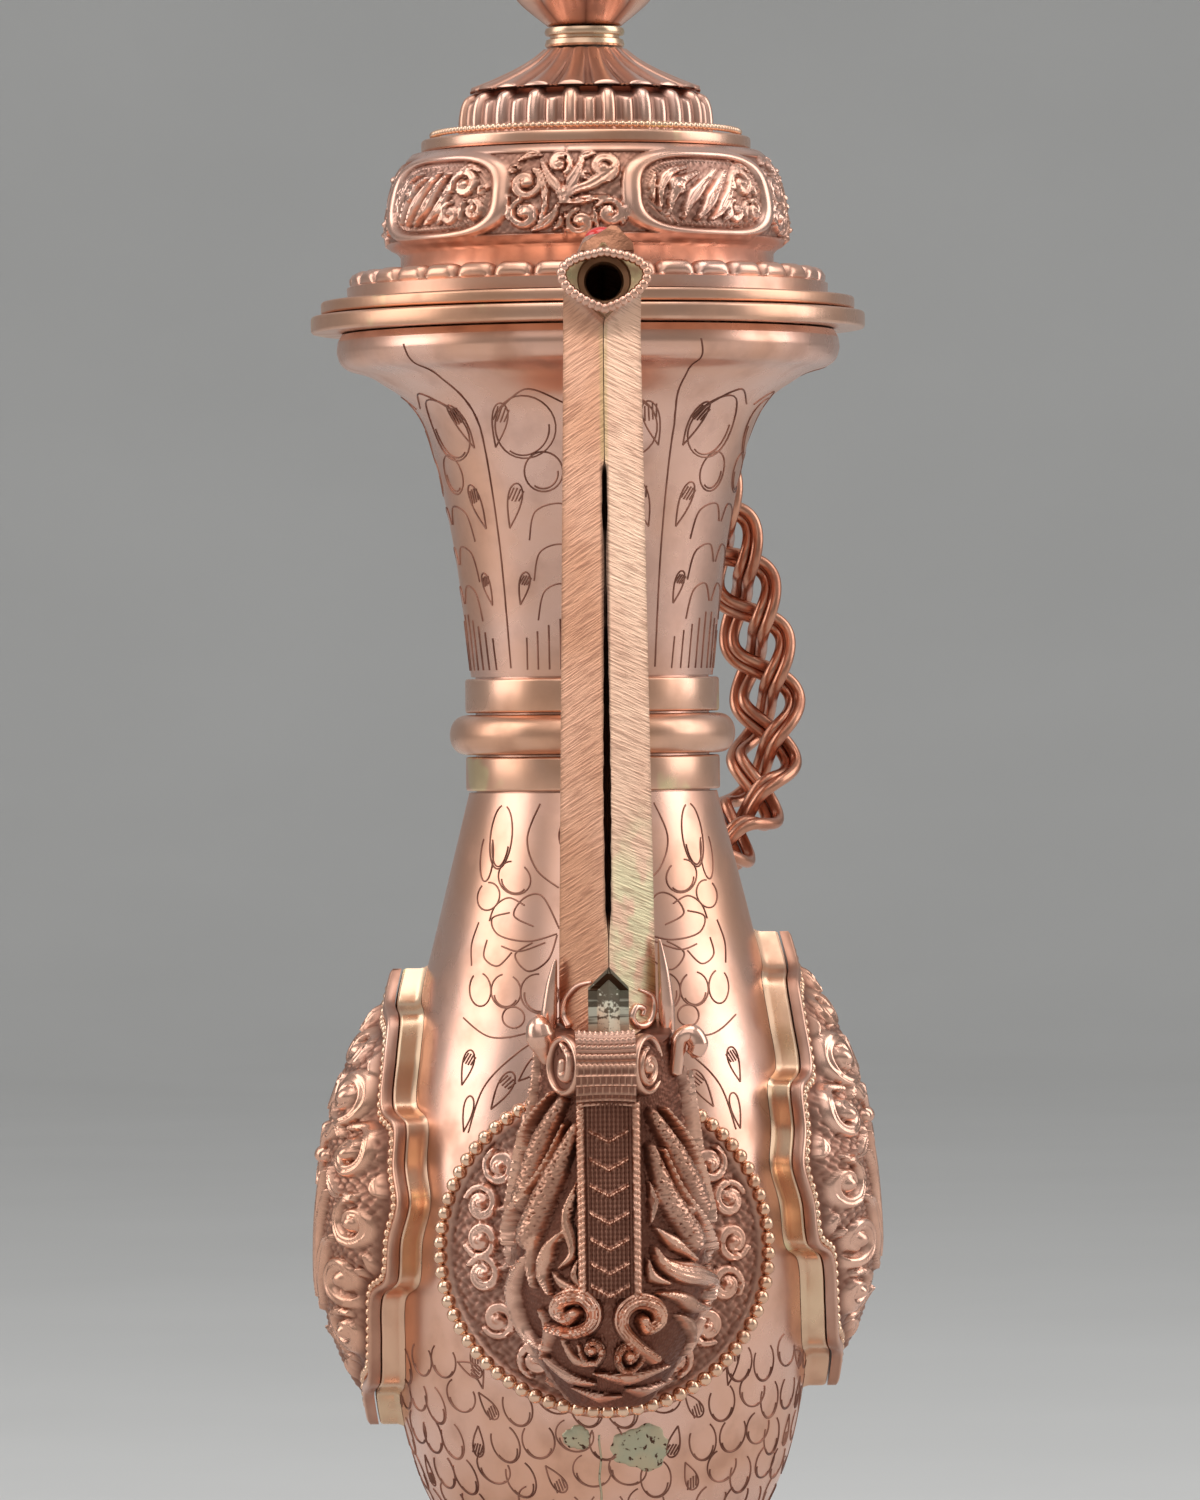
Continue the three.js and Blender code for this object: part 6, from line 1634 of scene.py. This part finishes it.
def crown_petals(radius, height, turn):
    across = off_middle(turn, CROWN_PETALS)
    outer = (radius > 17.6).astype(float)
    tall = rounded(across, 0.36) * held((280.1 - height) / 0.8) ** 0.5
    low = rounded(1 - across, 0.3) * held((278.6 - height) / 0.7) ** 0.5
    scallop = rounded(off_middle(turn, 2 * CROWN_PETALS), 0.8) * held((274.4 - height) / 0.5)
    lift = np.maximum.reduce([tall, low * 0.65, scallop * 0.55])
    back = held((height - 278.4) / 1.4) * (1 - rounded(across, 0.46)) * 0.9
    hollow = held(0.9 - lift * 1.4) * outer * 0.75
    return radius + outer * (lift - 0.75), height - outer * back, hollow


crown_wall = [(20.8, 272.9), (20.9, 275.4), (20.5, 278.0), (19.5, 279.7), (18.4, 280.2)]
crown_side = [(16.4, 272.9), *spline(crown_wall, 26), (17.0, 280.2), (16.4, 279.8)]
lotus_crown = turned("lotus_crown", crown_side, CROWN_PETALS * 28, crown_petals, 55)
finished(lotus_crown, "lid", "sheet_copper", sheet_copper, "lid_lotus_crown")


def flutes(radius, height, turn):
    across = off_middle(turn, CROWN_PETALS)
    reach = np.where(height > 280.6, held((radius - 5.5) / 8), 0)
    rib = rounded(across, 0.8) * 0.9 + bell(across - 1, 0.1) * 0.25
    return radius, height + (rib - 0.7) * reach, (1 - held(rib)) * 0.8 * reach


dome_wall = [(18.9, 280.9), (15.6, 282.2), (12.0, 283.9), (9.0, 285.7), (6.9, 287.4)]
dome_side = [(2.0, 280.5), (19.0, 280.5), *spline(dome_wall, 26), (2.0, 287.4)]
fluted_dome = turned("fluted_dome", dome_side, CROWN_PETALS * 20, flutes, 60)
finished(fluted_dome, "lid", "sheet_copper", sheet_copper, "lid_fluted_dome")

# The finial: two brass rings, a lotus calyx that opens from them and a closed bud on top.
finial_side = [
    (0, 287.8),
    *[(6.6 - 0.25 * math.cos(2 * math.pi * t) ** 2, 287.8 + 1.15 * t) for t in (0, 0.3, 1)],
    (5.7, 289.2),
    (5.7, 289.6),
    *[(6.4 + 0.2 * math.sin(math.pi * t), 289.75 + 1.1 * t) for t in (0, 0.5, 1)],
    (0, 290.9),
]
finial_rings = turned("finial_rings", finial_side, 96)
finished(finial_rings, "lid", "brass_sheet", brass_sheet, "finial_collar")

CALYX_PETALS = 8


def calyx_petals(radius, height, turn):
    rise = held((height - 291.2) / 6.4)
    outer = (radius > 6.0).astype(float)
    lobe = rounded(off_middle(turn, CALYX_PETALS), 1.02)
    notch = (1 - lobe) * rise**2
    reach = radius + outer * (0.7 * lobe * rise - 2.6 * notch * rise - 0.3)
    return reach, height - outer * notch * 1.6, outer * held((1 - lobe) * 1.3) * 0.8


calyx_wall = [(6.4, 291.3), (8.6, 293.2), (10.7, 295.2), (11.6, 296.6), (11.3, 297.4)]
calyx_side = [(1.0, 291.2), (5.9, 291.2), *spline(calyx_wall, 22), (10.2, 297.3)]
calyx_side += [(6.0, 296.4), (1.0, 296.2)]
calyx = turned("calyx", calyx_side, CALYX_PETALS * 30, calyx_petals, 55)
finished(calyx, "lid", "cast_copper", cast_copper, "finial_calyx")

BUD_PETALS = 6


def bud_petals(radius, height, turn):
    rise = held((height - 297.9) / 11)
    edge = rounded(rise, 0.86)
    inside = held((edge - off_middle(turn, BUD_PETALS, 0.5)) * 4 + 0.4)
    reach = radius * (1 + 0.07 * (inside - 0.5) * np.sin(math.pi * rise))
    return reach, height, (1 - inside) * 0.7 * (radius > 0.5)


bud_wall = [(4.6, 297.9), (7.1, 300.0), (7.3, 302.6), (5.2, 305.6), (2.2, 307.9)]
bud_side = [(0, 297.9), *spline(bud_wall, 26), (0.9, 308.7), (0, 308.9)]
bud = turned("bud", bud_side, BUD_PETALS * 24, bud_petals, 60)
finished(bud, "lid", "cast_copper", cast_copper, "finial_bud")
